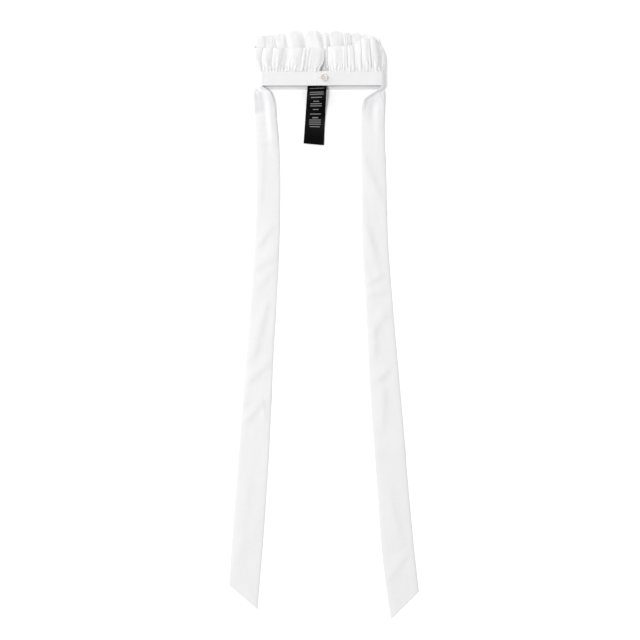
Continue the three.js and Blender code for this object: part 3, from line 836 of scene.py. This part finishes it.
def frill_surface(sizes, rows):
    """The frill's middle surface as a grid of points in mm, its runs, and its depth at each column."""
    number, part = frill_columns()
    down = np.concatenate([[-0.02, 0], np.linspace(0, 1, rows)[1:] ** 1.15])[None, :]

    def between_creases(name, way):
        values = np.array([getattr(crease, name) for crease in CREASES], float)
        return lerp(values[number], values[number + 1], way)

    # Away from the seam the cloth rolls over a little within each puff
    way = part - 0.45 * ease(down / 0.3) * np.sin(2 * math.pi * part) / (2 * math.pi)
    run = lerp(between_creases("seam", way), between_creases("edge", way), down)
    x, z, nx, nz, front = neck_line(run)
    height = puff_heights(between_creases("puff", 0), part, run, down, front, sizes)
    height = height + gather_heights(between_creases("seam", part), down, sizes)
    flat = FOLD_REACH - np.where(run < 0, LEFT_RADIUS, RIGHT_RADIUS)
    height = height * (1 - 2 * ease((flat - np.abs(run)) / FRILL_SETTLE)) * (1 - SIDE_PRESS * nx**2)
    depth = frill_depths(between_creases("edge", part), part, between_creases("draw", part), sizes)

    sideways = rumple(run, down, sizes.seed + 1, height=0.7, along=11, across=1 / 3) * ease(down / 0.25)
    swell = np.sin(math.pi * np.clip(down / 0.92, 0, 1)) ** 0.8
    for belly in FRILL_BELLIES:
        sideways = sideways + belly.out * swell * bell(run, belly.run, belly.reach)
    rolled = 0.95 * bell(run, ROLL_RUN, ROLL_REACH, 8) * ease(down / 0.25)
    z = lerp(z, np.minimum(z, ROLL_HEIGHT), rolled)
    laid = ease((depth * down - CORNER_DEPTH) / 5.5) * ease((CORNER_RUN - run) / 8)
    z = z * (1 - CORNER_FLAT * laid)

    # At the centre front the frill's ends lean over near the seam and then stand straight
    near_end = np.exp(-np.minimum(run - CREASES[0].seam, CREASES[-1].seam - run) / END_REACH)
    lean = eased_table(FRILL_LEAN, "run", "lean", run) * lerp(down, ease(down / 0.5), near_end)
    lift = frill_lift(run, down, front, near_end, sizes)
    lowest = 0.35 + rumple(run, down, sizes.seed + 8, height=0.15, along=3, across=1 / 5)
    axes = [
        x + nx * height + lean + sideways,
        band_middle(front) + BAND_HEIGHT / 2 + depth * down,
        np.maximum((z + nz * height + lift) * (1 - FRILL_FLATTEN * down**2), lowest),
    ]
    return np.stack(axes, axis=-1), run, depth * down, depth


def make_frill(sizes, materials):
    """The gathered frill. Gives its middle surface and half its thickness, which its stitching follows."""
    middle, run, deep, depth = frill_surface(sizes, rows=58)
    from_hem = depth - deep
    hem = ease((sizes.frill_hem - from_hem) / 0.5)
    half = sizes.frill_cloth / 2 * (1 + 0.7 * hem) * rounded_edge(from_hem, 0.45, 0.15)
    # The gathered cloth is 1.8 times as long as the seam that draws it up
    uvs = np.stack([run * 1.8, deep], axis=-1)
    frill = two_sided("frill", middle, half, uvs)
    finish_piece(frill, materials["voile"], "voile", "ruffle")
    return middle, half


def close_at_edges(count, squeeze):
    """Parts from 0 to 1 across a sheet, close together at its two edges."""
    t = np.linspace(0, math.pi, count)
    return 0.5 - 0.5 * np.cos(t) * (1 - squeeze * np.sin(t) ** 2)


def tab_height(run):
    """The band's height, which the tab's rounded upper corner takes down."""
    into = np.clip((run - (TAB_END - TAB_ROUND_LENGTH)) / TAB_ROUND_LENGTH, 0, 1)
    return BAND_HEIGHT - TAB_ROUND_DROP * (1 - np.sqrt(1 - into**2))


def band_surface(run, part, outward, sizes):
    """Points on the band's outer face (outward 1) or inner face (-1) and the outward direction."""
    x, z, nx, nz, front = neck_line(run)
    height = tab_height(run)
    below, above = part * height, (1 - part) * height
    y = band_middle(front) - BAND_HEIGHT / 2 + below
    to_end = np.minimum(TAB_END - run, run - UNDER_END)
    edge = np.minimum(np.minimum(below, above), np.maximum(to_end, 0))
    half = BAND_HALF * rounded_edge(edge, BAND_EDGE)
    # The topstitching draws the cloth down in a groove, and puckers it a little
    pucker = rumple(run, y, sizes.seed + 11, height=0.07, along=2.1, across=8)
    for distance in (below, above, TAB_END - run):
        half = half - STITCH_GROOVE * bell(distance, sizes.stitch_edge, STITCH_GROOVE_REACH)
        half = half + pucker * bell(distance, sizes.stitch_edge, 1.8)
    # At the side seams it is sunk on the outside, and thicker beside them
    for seam in SIDE_SEAM_RUNS:
        half = half - SEAM_GROOVE * bell(run, seam, SEAM_GROOVE_REACH) * (outward > 0)
        half = half + SEAM_RIDGE * bell(run, seam - SEAM_RIDGE_AWAY * np.sign(seam), SEAM_RIDGE_REACH)
    # The frill's gathers show through along the upper edge
    gathers = rumple(run, 0, sizes.seed + 12, height=0.16, along=2.9) * np.exp(-above / 2.2)
    half = half + gathers * ease(above / 0.8)
    half = half + rumple(run, y, sizes.seed + 13, height=0.05, along=6, across=7)
    # Seam allowances lie inside along both edges
    half = half + SEAM_ALLOWANCE * (1 - ease((np.minimum(below, above) - sizes.stitch_edge - 0.6) / 1.4))
    # Its front lies a little unevenly over what is below it
    sway = rumple(run, 0, sizes.seed + 14, height=0.3, along=26)
    sway = (sway + rumple(run, y, sizes.seed + 15, height=0.22, along=11, across=13)) * front
    points = [x + nx * outward * half, y, np.maximum(z + sway + nz * outward * half, 0.0)]
    normal = [nx * outward, np.zeros_like(x), nz * outward]
    return np.stack(points, axis=-1), np.stack(normal, axis=-1)


def make_neckband(sizes, materials):
    """The folded strip of the band, with its lapped ends."""
    runs = np.concatenate([
        [UNDER_END + 0.01, UNDER_END + 0.2],
        np.linspace(UNDER_END, TAB_END - 1.0, 330)[1:],
        TAB_END - np.linspace(0.8, 0, 5) ** 1.5,
    ])
    run, part = np.meshgrid(runs, close_at_edges(26, 0.18), indexing="ij")
    outer, _ = band_surface(run, part, 1, sizes)
    inner, _ = band_surface(run, part, -1, sizes)
    uvs = np.stack([run, part * BAND_HEIGHT], axis=-1)
    rings, ring_uvs = (np.concatenate([a, b[:, ::-1]], axis=1) for a, b in ((outer, inner), (uvs, uvs)))
    band = loft("neckband_cloth", rings, ring_uvs)
    finish_piece(band, materials["cotton"], "cotton", "neckband")


def slowing(t):
    """From 0 to 1, fast at first."""
    return 1 - (1 - np.clip(t, 0, 1)) ** 2


def tie_outline(form, part, below):
    """Where a tie's outer edge, its inner edge and each of its points lie: X, X and Y."""
    top = tie_top(form, part)
    length_here = lerp(form.outer_length, form.inner_length, part)
    slanted = ease((below / form.inner_length - TIE_SLANT) / (1 - TIE_SLANT))
    y = top - below * lerp(1, (length_here + top) / (form.inner_length + top), slanted)
    # The gathered cloth bunches up round the band's lower corner
    y = y + TIE_SHOULDER * np.sin(math.pi * np.clip(below / 10, 0, 1)) * ease((0.3 - part) / 0.25)
    return curved_table(form.edges, "y", "outer", y), curved_table(form.edges, "y", "inner", y), y


def tie_start(form, part):
    """The place on the band's course at which each part of a tie's top is sewn in."""
    angle = lerp(TIE_SEWN_FROM, TIE_SEWN_TO, part)
    return neck_line(form.side * (FOLD_REACH - form.radius + angle * form.radius))


def tie_top(form, part):
    """The Y of the band's lower edge where a tie starts."""
    return band_middle(tie_start(form, part)[4]) - BAND_HEIGHT / 2


def tie_height(form, part, below, width, sizes):
    """How high a tie's cloth stands off the table: its top, its soft folds and its unevenness."""
    columns = np.stack([curved_table(form.top, "below", name, below) for name in TieTop._fields[1:6]])
    k = np.clip((part * 4).astype(int), 0, 3)
    before, after = (np.take_along_axis(columns, k[None] + step, 0)[0] for step in (0, 1))
    height = lerp(before, after, ease(part * 4 - k))
    height = height + curved_table(form.top, "below", "lip", below) * ease((part - 0.82) / 0.08)
    from_left = part if form.side < 0 else 1 - part
    for fold in form.folds:
        height = height + soft_fold(fold, from_left * width, below, width)
    wave = soft_noise(part * 2.2 + below / 90, below / 37, sizes.seed + 20 + form.side)
    height = height + 0.5 * np.clip(wave, 0, 1)
    height = height + rumple(part, below, sizes.seed + 23 + form.side, height=0.1, along=1 / 6, across=11)
    # It lies flat on the table at its edges, the right one more sharply
    left, right = from_left * width, (1 - from_left) * width
    height = height + 0.9 * (1 - np.exp(-left / 4)) * (1 - np.exp(-right / 1.3))
    # Near the band it is crumpled, where it is wide enough to be
    crumple = rumple(part, below, sizes.seed + 26 + form.side, height=0.7, along=1 / 7, across=4.5)
    return height + crumple * (1 - ease((below - 4) / 16)) * np.clip((width - 8) / 14, 0, 1)


def tie_surface(form, part, below, sizes):
    """Points on a tie's middle surface, by part of the way in from its outer edge and distance down."""
    outer, inner, y = tie_outline(form, part, below)
    start_x, start_z, _, _, _ = tie_start(form, part)
    spread = slowing(below / (form.spread * lerp(0.3, 1, part)))
    settled = slowing(below / (form.settle * lerp(0.45, 1, part)))
    height = tie_height(form, part, below, np.abs(outer - inner), sizes)
    x = lerp(start_x, lerp(outer, inner, part), spread)
    z = lerp(start_z, sizes.tie_cloth / 2 + np.maximum(height, 0), settled)
    return np.stack([x, y, z], axis=-1)


def soft_fold(fold, across_mm, below, width):
    """One soft fold: a ridge that dies away towards its ends, steep on its lower right side."""
    dx, dy = (fold.to_across - fold.across) * width, fold.to_below - fold.below
    length = np.hypot(dx, dy)
    from_start, down = across_mm - fold.across * width, below - fold.below
    along = (from_start * dx + down * dy) / length**2
    aside = (from_start * dy - down * dx) / length * np.where(dy - 0.7 * dx < 0, -1, 1)
    ends = ease((along + 0.25) / 0.5) * ease((1.25 - along) / 0.5)
    return fold.lift * ends * np.exp(-((aside * np.where(aside > 0, 1.15, 0.7) / fold.width) ** 2))


def make_ties(sizes, materials):
    """The two long ties, laid on the table from the side folds down."""
    for form in TIES:
        length = form.inner_length - BAND_HEIGHT / 2
        belows = np.concatenate([
            np.linspace(0, 80, 90),
            np.linspace(80, length - 2, 290)[1:],
            [length - 1, length - 0.4, length],
        ])
        below, part = np.meshgrid(belows, close_at_edges(34, 0.25), indexing="ij")
        middle = tie_surface(form, part, below, sizes)
        width = np.linalg.norm(middle[:, -1] - middle[:, 0], axis=1)[:, None]
        edge = np.minimum(np.minimum(part, 1 - part) * width, np.maximum(length - below, 0))
        # The seam along its edges leaves a shallow groove beside it
        half = sizes.tie_cloth / 2 * rounded_edge(edge, TIE_EDGE)
        half = half - TIE_GROOVE * bell(edge, TIE_GROOVE_IN, TIE_GROOVE_REACH)
        tie = two_sided(form.node + "_cloth", middle, half, np.stack([part * 34, below], axis=-1))
        for vertex in tie.data.vertices:
            vertex.co.z = max(vertex.co.z, 0.0)
        finish_piece(tie, materials["cotton"], "cotton", form.node)


def make_label(sizes, materials):
    """The satin label, which arches out from under the band and lies down again."""
    top, end = LABEL_LINE[0].y, LABEL_LINE[-1].y
    length = top - end
    down, part = np.meshgrid(np.linspace(0, 1, 191), np.linspace(-0.5, 0.5, 49), indexing="ij")
    y = top - length * down
    curl = 0.5 * (2 * np.abs(part)) ** 3 * ease((down - 0.3) / 0.5)
    wave = rumple(part, down, sizes.seed + 30, height=0.15, along=1 / 2.5, across=1 / 5)
    # Its right side stands up off the table a little below the band
    tilt = LABEL_TILT * (part + 0.5) * ease((down - 0.04) / 0.12) * (1 - ease((down - 0.22) / 0.4))
    across = LABEL_WIDTH * part * (1 - LABEL_NARROWING * (1 - down))
    points = [
        LABEL_SHIFT + across - LABEL_SLANT * length * down,
        y - LABEL_CORNER_DROP * (part + 0.5) * ease((down - 0.6) / 0.4),
        curved_table(LABEL_LINE, "y", "z", y) + curl + wave + tilt,
    ]
    # Its side edges are woven a little thicker
    half = 0.16 + 0.06 * ease((1.0 - (0.5 - np.abs(part)) * LABEL_WIDTH) / 0.5)
    uvs = np.stack([part * LABEL_WIDTH, down * length], axis=-1)
    label = two_sided("care_label_ribbon", np.stack(points, axis=-1), half, uvs)
    finish_piece(label, materials["satin"], "satin", "care_label")
    print_rules(label, materials["rules"])


def print_rules(label, ink):
    """Inks the faces of the label's upper side that lie on its plain rules."""
    label.data.materials.append(ink)
    layer = label.data.uv_layers["cloth"].data
    for face in label.data.polygons:
        corners = [layer[i].uv / MM for i in face.loop_indices]
        across = abs(sum(c.x for c in corners) / len(corners))
        down = sum(c.y for c in corners) / len(corners)
        for rule in LABEL_RULES:
            if abs(down - rule.down) < LABEL_RULE / 2 and across < rule.reach and face.normal.z > 0.2:
                face.material_index = 1


def drilled(piece, places, height):
    """Cuts a round hole through a piece at each place."""
    cutters = []
    for x, y in places:
        drill, faces = turned([(HOLE_RADIUS, -1.0), (HOLE_RADIUS, 3.0)], 24)
        cutters.append(link_mesh("drill", [(a + x, b + y, c + height) for a, b, c in drill], faces))
        cut = piece.modifiers.new("hole", "BOOLEAN")
        cut.object = cutters[-1]
        cut.operation = "DIFFERENCE"
        cut.solver = "EXACT"
    bake_modifiers(piece)
    for cutter in cutters:
        bpy.data.objects.remove(cutter)


def turned(profile, sides):
    """A body of revolution from (radius, height) points, closed on its axis at both ends."""
    angles = np.arange(sides) * 2 * math.pi / sides
    vertices = [(0, 0, profile[0][1])]
    for radius, height in profile:
        vertices += [(radius * math.cos(a), radius * math.sin(a), height) for a in angles]
    vertices.append((0, 0, profile[-1][1]))
    faces = []
    for s in range(sides):
        after = (s + 1) % sides
        faces.append((0, 1 + after, 1 + s))
        for r in range(len(profile) - 1):
            a, b = 1 + r * sides, 1 + (r + 1) * sides
            faces.append((a + s, a + after, b + after, b + s))
        last = 1 + (len(profile) - 1) * sides
        faces.append((len(vertices) - 1, last + s, last + after))
    return vertices, faces


def make_button(materials):
    """The dished shell button with its four holes."""
    vertices, faces = turned(BUTTON_PROFILE, 64)
    vertices = [(x + BUTTON_X, y + BUTTON_Y, z + BUTTON_BASE) for x, y, z in vertices]
    button = link_mesh("shell_button", vertices, faces)
    sides = (-HOLE_SPREAD, HOLE_SPREAD)
    drilled(button, [(BUTTON_X + i, BUTTON_Y + j) for i in sides for j in sides], BUTTON_BASE)
    bevel = button.modifiers.new("soft rims", "BEVEL")
    bevel.width = 0.12 * MM
    bevel.segments = 2
    bevel.angle_limit = math.radians(50)
    bake_modifiers(button)
    button.data.polygons.foreach_set("use_smooth", [True] * len(button.data.polygons))
    finish_piece(button, materials["shell"], "shell", "button")


def bake_modifiers(piece):
    """Replaces a piece's mesh by what its modifiers make of it."""
    depsgraph = bpy.context.evaluated_depsgraph_get()
    made = bpy.data.meshes.new_from_object(piece.evaluated_get(depsgraph))
    piece.modifiers.clear()
    piece.data = made


def button_strand(side, strand):
    """One turn of thread: up through a lower hole, over the dish, and down through the upper hole."""
    dish = BUTTON_BASE + 1.6
    x = BUTTON_X + side * HOLE_SPREAD + strand * 0.27
    crown = dish + 0.55 - 0.12 * abs(strand)
    knot, leg = BUTTON_X + side * 0.5, x - strand * 0.1
    rising = [
        (knot, -0.5, BUTTON_BASE - 0.5),
        (leg, -HOLE_SPREAD - 0.12, BUTTON_BASE + 0.2),
        (x, -HOLE_SPREAD - 0.15, dish - 0.2),
        (x, -HOLE_SPREAD + 0.25, dish + 0.25),
        (x, -0.7, crown),
    ]
    falling = [(a, -y, z) for a, y, z in reversed(rising)]
    return [(a, BUTTON_Y + y, z) for a, y, z in [*rising, (x + 0.05, 0, crown + 0.05), *falling]]


def tube(points, radius, sides=10):
    """Vertices and faces of a closed round tube along some points."""
    points = [Vector(p) for p in points]
    vertices, faces = [], []
    for i, point in enumerate(points):
        ahead = (points[min(i + 1, len(points) - 1)] - points[max(i - 1, 0)]).normalized()
        side = ahead.cross(Vector((0.3, 0.2, 1)) if abs(ahead.z) < 0.9 else Vector((1, 0.2, 0))).normalized()
        up = side.cross(ahead)
        shrink = 0.5 if i in (0, len(points) - 1) else 1
        for s in range(sides):
            angle = 2 * math.pi * s / sides
            vertices.append(point + (side * math.cos(angle) + up * math.sin(angle)) * radius * shrink)
    for i in range(len(points) - 1):
        for s in range(sides):
            a, b = i * sides, (i + 1) * sides
            faces.append((a + s, a + (s + 1) % sides, b + (s + 1) % sides, b + s))
    faces.append(tuple(range(sides))[::-1])
    faces.append(tuple(range((len(points) - 1) * sides, len(points) * sides)))
    return vertices, faces


def make_button_thread(materials):
    """The thread through the button's holes, its shank, and the turns wound round the shank."""
    under = BAND_WALL + 2 * LEFT_RADIUS
    strands = [(button_strand(side, strand), 0.17) for side in (-1, 1) for strand in (-1, 0, 1)]
    shank = [(BUTTON_X, BUTTON_Y, z) for z in (under + 0.1, under + 1.2, BUTTON_BASE - 0.1)]
    strands.append((shank, 0.65))
    for turn in range(5):
        height = lerp(under + 2.2, BUTTON_BASE - 0.2, turn / 4)
        ring = [
            (BUTTON_X + 0.75 * math.cos(a), BUTTON_Y + 0.75 * math.sin(a), height + 0.03 * a)
            for a in np.linspace(0, 2 * math.pi, 17)
        ]
        strands.append((ring, 0.16))
    vertices, faces = [], []
    for line, radius in strands:
        points, skin = tube(line, radius)
        faces += [tuple(v + len(vertices) for v in face) for face in skin]
        vertices += [tuple(p) for p in points]
    thread = link_mesh("button_thread_strands", vertices, faces)
    finish_piece(thread, materials["thread"], "thread", "button_thread")


def stitch_tree(material):
    """Lays slim capsules of thread end to end along a line, each turned to follow it."""
    tree = bpy.data.node_groups.new("Stitches along a line", "GeometryNodeTree")
    make = tree.interface.new_socket
    make(name="Line", in_out="INPUT", socket_type="NodeSocketGeometry")
    for name, default, note in (
        ("Pitch", 0.0021, "Distance from one stitch to the next"),
        ("Length", 0.0017, "Length of a stitch"),
        ("Diameter", 0.0003, "Diameter of the thread"),
    ):
        socket = make(name=name, in_out="INPUT", socket_type="NodeSocketFloat")
        socket.default_value = default
        socket.description = note
        socket.subtype = "DISTANCE"
    turn = make(name="Turn", in_out="INPUT", socket_type="NodeSocketFloat")
    turn.description = "Angle between a stitch and its line"
    turn.subtype = "ANGLE"
    seed = make(name="Seed", in_out="INPUT", socket_type="NodeSocketInt")
    seed.description = "Seed of the stitches' small irregularities"
    make(name="Stitches", in_out="OUTPUT", socket_type="NodeSocketGeometry")
    inputs = add_node(tree, "NodeGroupInput")
    line = add_node(tree, "GeometryNodeMeshToCurve", Mesh=inputs.outputs["Line"])
    points = add_node(
        tree,
        "GeometryNodeCurveToPoints",
        {"mode": "LENGTH"},
        Curve=line.outputs["Curve"],
        Length=inputs.outputs["Pitch"],
    )
    body = add_node(tree, "GeometryNodeMeshUVSphere", {"Segments": 6, "Rings": 5, "Radius": 0.5})
    wobble = add_node(
        tree,
        "FunctionNodeRandomValue",
        {"data_type": "FLOAT_VECTOR", "_0": (-0.05, -0.05, -0.05), "_1": (0.05, 0.05, 0.05)},
        Seed=inputs.outputs["Seed"],
    )
    aim = add_node(
        tree,
        "FunctionNodeAlignRotationToVector",
        {"axis": "X"},
        Vector=points.outputs["Tangent"],
    )
    across = add_node(tree, "ShaderNodeCombineXYZ", Z=inputs.outputs["Turn"])
    turned_by = add_node(tree, "FunctionNodeEulerToRotation", Euler=across.outputs["Vector"])
    shaken_by = add_node(tree, "FunctionNodeEulerToRotation", Euler=wobble.outputs[0])
    angled = add_node(
        tree,
        "FunctionNodeRotateRotation",
        {"rotation_space": "GLOBAL"},
        Rotation=aim.outputs["Rotation"],
        Rotate_By=turned_by.outputs["Rotation"],
    )
    shaken = add_node(
        tree,
        "FunctionNodeRotateRotation",
        {"rotation_space": "LOCAL"},
        Rotation=angled.outputs["Rotation"],
        Rotate_By=shaken_by.outputs["Rotation"],
    )
    scale = add_node(
        tree,
        "ShaderNodeCombineXYZ",
        X=inputs.outputs["Length"],
        Y=inputs.outputs["Diameter"],
        Z=inputs.outputs["Diameter"],
    )
    placed = add_node(
        tree,
        "GeometryNodeInstanceOnPoints",
        Points=points.outputs["Points"],
        Instance=body.outputs["Mesh"],
        Rotation=shaken.outputs["Rotation"],
        Scale=scale.outputs["Vector"],
    )
    real = add_node(tree, "GeometryNodeRealizeInstances", Geometry=placed.outputs["Instances"])
    smooth = add_node(tree, "GeometryNodeSetShadeSmooth", Geometry=real.outputs["Geometry"])
    dressed = add_node(
        tree, "GeometryNodeSetMaterial", {"Material": material}, Geometry=smooth.outputs[0]
    )
    add_node(tree, "NodeGroupOutput", Stitches=dressed.outputs["Geometry"])
    return tree


def stitch_lines(name, lines, tree, material, seed, pitch, length, diameter, turn=0.0):
    """One piece of stitching along several lines of points in mm."""
    vertices, edges = [], []
    for line in lines:
        start = len(vertices)
        vertices += [tuple(Vector(p) * MM) for p in line]
        edges += [(start + i, start + i + 1) for i in range(len(line) - 1)]
    mesh = bpy.data.meshes.new(name)
    mesh.from_pydata(vertices, edges, [])
    piece = bpy.data.objects.new(name, mesh)
    bpy.context.collection.objects.link(piece)
    modifier = piece.modifiers.new("stitches", "NODES")
    modifier.node_group = tree
    values = {"Pitch": pitch * MM, "Length": length * MM, "Diameter": diameter * MM}
    values.update(Turn=turn, Seed=seed)
    for item in tree.interface.items_tree:
        if item.item_type == "SOCKET" and item.in_out == "INPUT" and item.name in values:
            modifier[item.identifier] = values[item.name]
    bake_modifiers(piece)
    finish_piece(piece, material, "thread")


def band_line(runs, part, sizes):
    """A line just off the band's outer face, by part of the way up from its lower edge."""
    points, normal = band_surface(runs, part, 1, sizes)
    return points + normal * STITCH_RISE


def band_stitching(sizes):
    """The lines of the topstitching: along both edges, round the tab, and beside the side seams."""
    inset = sizes.stitch_edge
    runs = np.arange(UNDER_END + 3, TAB_END - inset, 0.7)
    low = band_line(runs, inset / tab_height(runs), sizes)
    straight = runs[runs < TAB_END - TAB_ROUND_LENGTH]
    high = band_line(straight, 1 - inset / tab_height(straight), sizes)
    corner = np.arange(TAB_END - TAB_ROUND_LENGTH - 1, TAB_END - inset, 0.4)
    rounding = band_line(corner, 1 - inset / tab_height(corner), sizes)
    end = band_line(np.full(12, TAB_END - inset), np.linspace(inset / BAND_HEIGHT, 0.62, 12), sizes)
    lines = [low, high, np.concatenate([high[-1:], rounding[1:], end[::-1]])]
    for seam in SIDE_SEAM_RUNS:
        beside = np.full(20, seam - 1.6 * np.sign(seam))
        lines.append(band_line(beside, np.linspace(0.06, 0.94, 20), sizes))
    return lines


def make_stitching(sizes, materials, frill):
    """The topstitching of the band, the hem's stitches on both faces of the frill, and the buttonhole."""
    thread = materials["thread"]
    tree = stitch_tree(thread)
    stitch_lines(
        "band_topstitching", band_stitching(sizes), tree, thread, sizes.seed,
        pitch=sizes.stitch_length, length=sizes.stitch_length * STITCH_SHOWN, diameter=sizes.thread,
    )
    middle, half = frill
    off = sheet_normals(middle) * (half[..., None] + STITCH_RISE)
    # The hem lies on one row of the grid
    column = middle[HEM_COLUMN]
    from_edge = np.linalg.norm(column - column[-1], axis=1)
    row = int(np.argmin(np.abs(from_edge - sizes.frill_hem)))
    hems = [face[::2, row] for face in (middle + off, middle - off)]
    stitch_lines(
        "frill_hem_stitching", hems, tree, thread, sizes.seed + 1,
        pitch=1.9, length=1.4, diameter=0.2,
    )
    top = BAND_WALL + 2 * RIGHT_RADIUS + STITCH_RISE
    centre, reach = BUTTON_X - BUTTONHOLE_SHIFT, BUTTONHOLE_LENGTH / 2
    across = math.radians(90)
    for name, side in (("lower", -1), ("upper", 1)):
        line = [(centre + x, BUTTON_Y + side * 0.85, top) for x in np.linspace(-reach, reach, 12)]
        stitch_lines(
            "buttonhole_stitching_" + name, [line], tree, thread, sizes.seed + 3,
            pitch=0.34, length=1.5, diameter=0.34, turn=across,
        )
    bars = [
        [(centre + side * (reach + 0.3), BUTTON_Y + y, top + 0.03) for y in np.linspace(-1.6, 1.6, 6)]
        for side in (-1, 1)
    ]
    stitch_lines(
        "buttonhole_bars", bars, tree, thread, sizes.seed + 5,
        pitch=0.3, length=1.2, diameter=0.34, turn=across,
    )


def soft_box(name, location, size, power):
    """A square area light that faces the middle of what the camera sees."""
    light = bpy.data.lights.new(name, "AREA")
    light.size = size
    light.energy = power
    light.color = LAMP_COLOUR
    lamp = bpy.data.objects.new(name, light)
    lamp.location = location
    aim = Vector((CAMERA_X * MM, CAMERA_Y * MM, 0)) - Vector(location)
    lamp.rotation_euler = aim.to_track_quat("-Z", "Y").to_euler()
    bpy.context.collection.objects.link(lamp)


def make_floor():
    """Matt white sweep paper, lit to just past white as in the photograph."""
    mesh = bpy.data.meshes.new("floor")
    corners = ((-1, -1), (1, -1), (1, 1), (-1, 1))
    mesh.from_pydata([(x * FLOOR_REACH, y * FLOOR_REACH, -0.0001) for x, y in corners], [], [(0, 1, 2, 3)])
    floor = bpy.data.objects.new("floor", mesh)
    bpy.context.collection.objects.link(floor)
    paper, _, _ = new_material(
        "matt white paper",
        srgb("FAFAFA"),
        roughness=0.9,
        Specular_IOR_Level=0.1,
        Emission_Color=(1, 1, 1, 1),
        Emission_Strength=0.15,
    )
    floor.data.materials.append(paper)


def make_stage():
    """The table top, the studio light and the overhead camera."""
    make_floor()
    world = bpy.data.worlds.new("studio")
    world.use_nodes = True
    sky = world.node_tree.nodes["Background"].inputs
    sky["Color"].default_value = (1.0, 1.0, 1.0, 1.0)
    sky["Strength"].default_value = 0.5
    scene = bpy.context.scene
    scene.world = world
    soft_box("key_high_left", (-0.74, -0.28, 2.8), size=0.5, power=41.5)
    soft_box("key_low_left", (-2.5, 1.0, 0.9), size=0.8, power=20.0)
    camera = bpy.data.cameras.new("overhead")
    camera.sensor_width = SENSOR
    camera.lens = SENSOR / 2 / (PHOTO_SIDE / 2 * PIXEL / CAMERA_HEIGHT)
    camera.clip_start = 0.05
    camera.clip_end = 50.0
    stand = bpy.data.objects.new("overhead", camera)
    stand.location = (CAMERA_X * MM, CAMERA_Y * MM, CAMERA_HEIGHT * MM)
    bpy.context.collection.objects.link(stand)
    scene.camera = stand
    scene.view_settings.view_transform = "Standard"
    scene.view_settings.exposure = 0.0


def printing_ink(colours):
    # Matt grey ink, worn thin over the ribs of the ribbon
    material, _, _ = new_material(
        "label printing ink", colours.rules, roughness=0.7, Specular_IOR_Level=0.2
    )
    return material


MATERIAL_MAKERS = {
    "cotton": cotton_poplin,
    "voile": cotton_voile,
    "thread": sewing_thread,
    "shell": pearl_shell,
    "satin": satin_ribbon,
    "rules": printing_ink,
}
_materials = {}


def finishes():
    """The materials by slot, made once from the scene's colours."""
    if not _materials:
        colours = bpy.context.scene.collar_colours
        _materials.update({slot: maker(colours) for slot, maker in MATERIAL_MAKERS.items()})
    return _materials


class COLLAR_OT_stage(bpy.types.Operator):
    """Add the table top, the studio light and the overhead camera"""

    bl_idname = "collar.stage"
    bl_label = "Add Stage"

    def execute(self, context):
        make_stage()
        return {"FINISHED"}


class COLLAR_OT_neckband(bpy.types.Operator):
    """Build the neckband's folded strip of poplin"""

    bl_idname = "collar.neckband"
    bl_label = "Build Neckband"

    def execute(self, context):
        make_neckband(sizes_in_mm(), finishes())
        return {"FINISHED"}


class COLLAR_OT_frill(bpy.types.Operator):
    """Build the gathered frill of voile, then the stitching that follows it and the band"""

    bl_idname = "collar.frill"
    bl_label = "Build Frill and Stitching"

    def execute(self, context):
        frill = make_frill(sizes_in_mm(), finishes())
        make_stitching(sizes_in_mm(), finishes(), frill)
        return {"FINISHED"}


class COLLAR_OT_ties(bpy.types.Operator):
    """Build the two long ties"""

    bl_idname = "collar.ties"
    bl_label = "Build Ties"

    def execute(self, context):
        make_ties(sizes_in_mm(), finishes())
        return {"FINISHED"}


class COLLAR_OT_button(bpy.types.Operator):
    """Build the shell button and its sewing thread"""

    bl_idname = "collar.button"
    bl_label = "Build Button"

    def execute(self, context):
        make_button(finishes())
        make_button_thread(finishes())
        return {"FINISHED"}


class COLLAR_OT_label(bpy.types.Operator):
    """Build the satin label"""

    bl_idname = "collar.label"
    bl_label = "Build Label"

    def execute(self, context):
        make_label(sizes_in_mm(), finishes())
        return {"FINISHED"}


class COLLAR_PT_panel(bpy.types.Panel):
    """Lists the collar's sizes, colours and pieces"""

    bl_label = "Ruffled Collar"
    bl_idname = "COLLAR_PT_panel"
    bl_space_type = "VIEW_3D"
    bl_region_type = "UI"
    bl_category = "Collar"

    def draw(self, context):
        layout = self.layout
        for group in (context.scene.collar_sizes, context.scene.collar_colours):
            for name in group.__annotations__:
                layout.prop(group, name)
        for operator in OPERATORS:
            layout.operator(operator.bl_idname)


OPERATORS = (
    COLLAR_OT_stage,
    COLLAR_OT_neckband,
    COLLAR_OT_frill,
    COLLAR_OT_ties,
    COLLAR_OT_button,
    COLLAR_OT_label,
)
CLASSES = (CollarSizes, CollarColours, *OPERATORS, COLLAR_PT_panel)


def register():
    for cls in CLASSES:
        bpy.utils.register_class(cls)
    bpy.types.Scene.collar_sizes = PointerProperty(type=CollarSizes)
    bpy.types.Scene.collar_colours = PointerProperty(type=CollarColours)


def unregister():
    del bpy.types.Scene.collar_sizes
    del bpy.types.Scene.collar_colours
    for cls in reversed(CLASSES):
        bpy.utils.unregister_class(cls)


def main():
    register()
    bpy.ops.collar.stage()
    bpy.ops.collar.neckband()
    bpy.ops.collar.frill()
    bpy.ops.collar.ties()
    bpy.ops.collar.button()
    bpy.ops.collar.label()


if __name__ == "__main__":
    main()
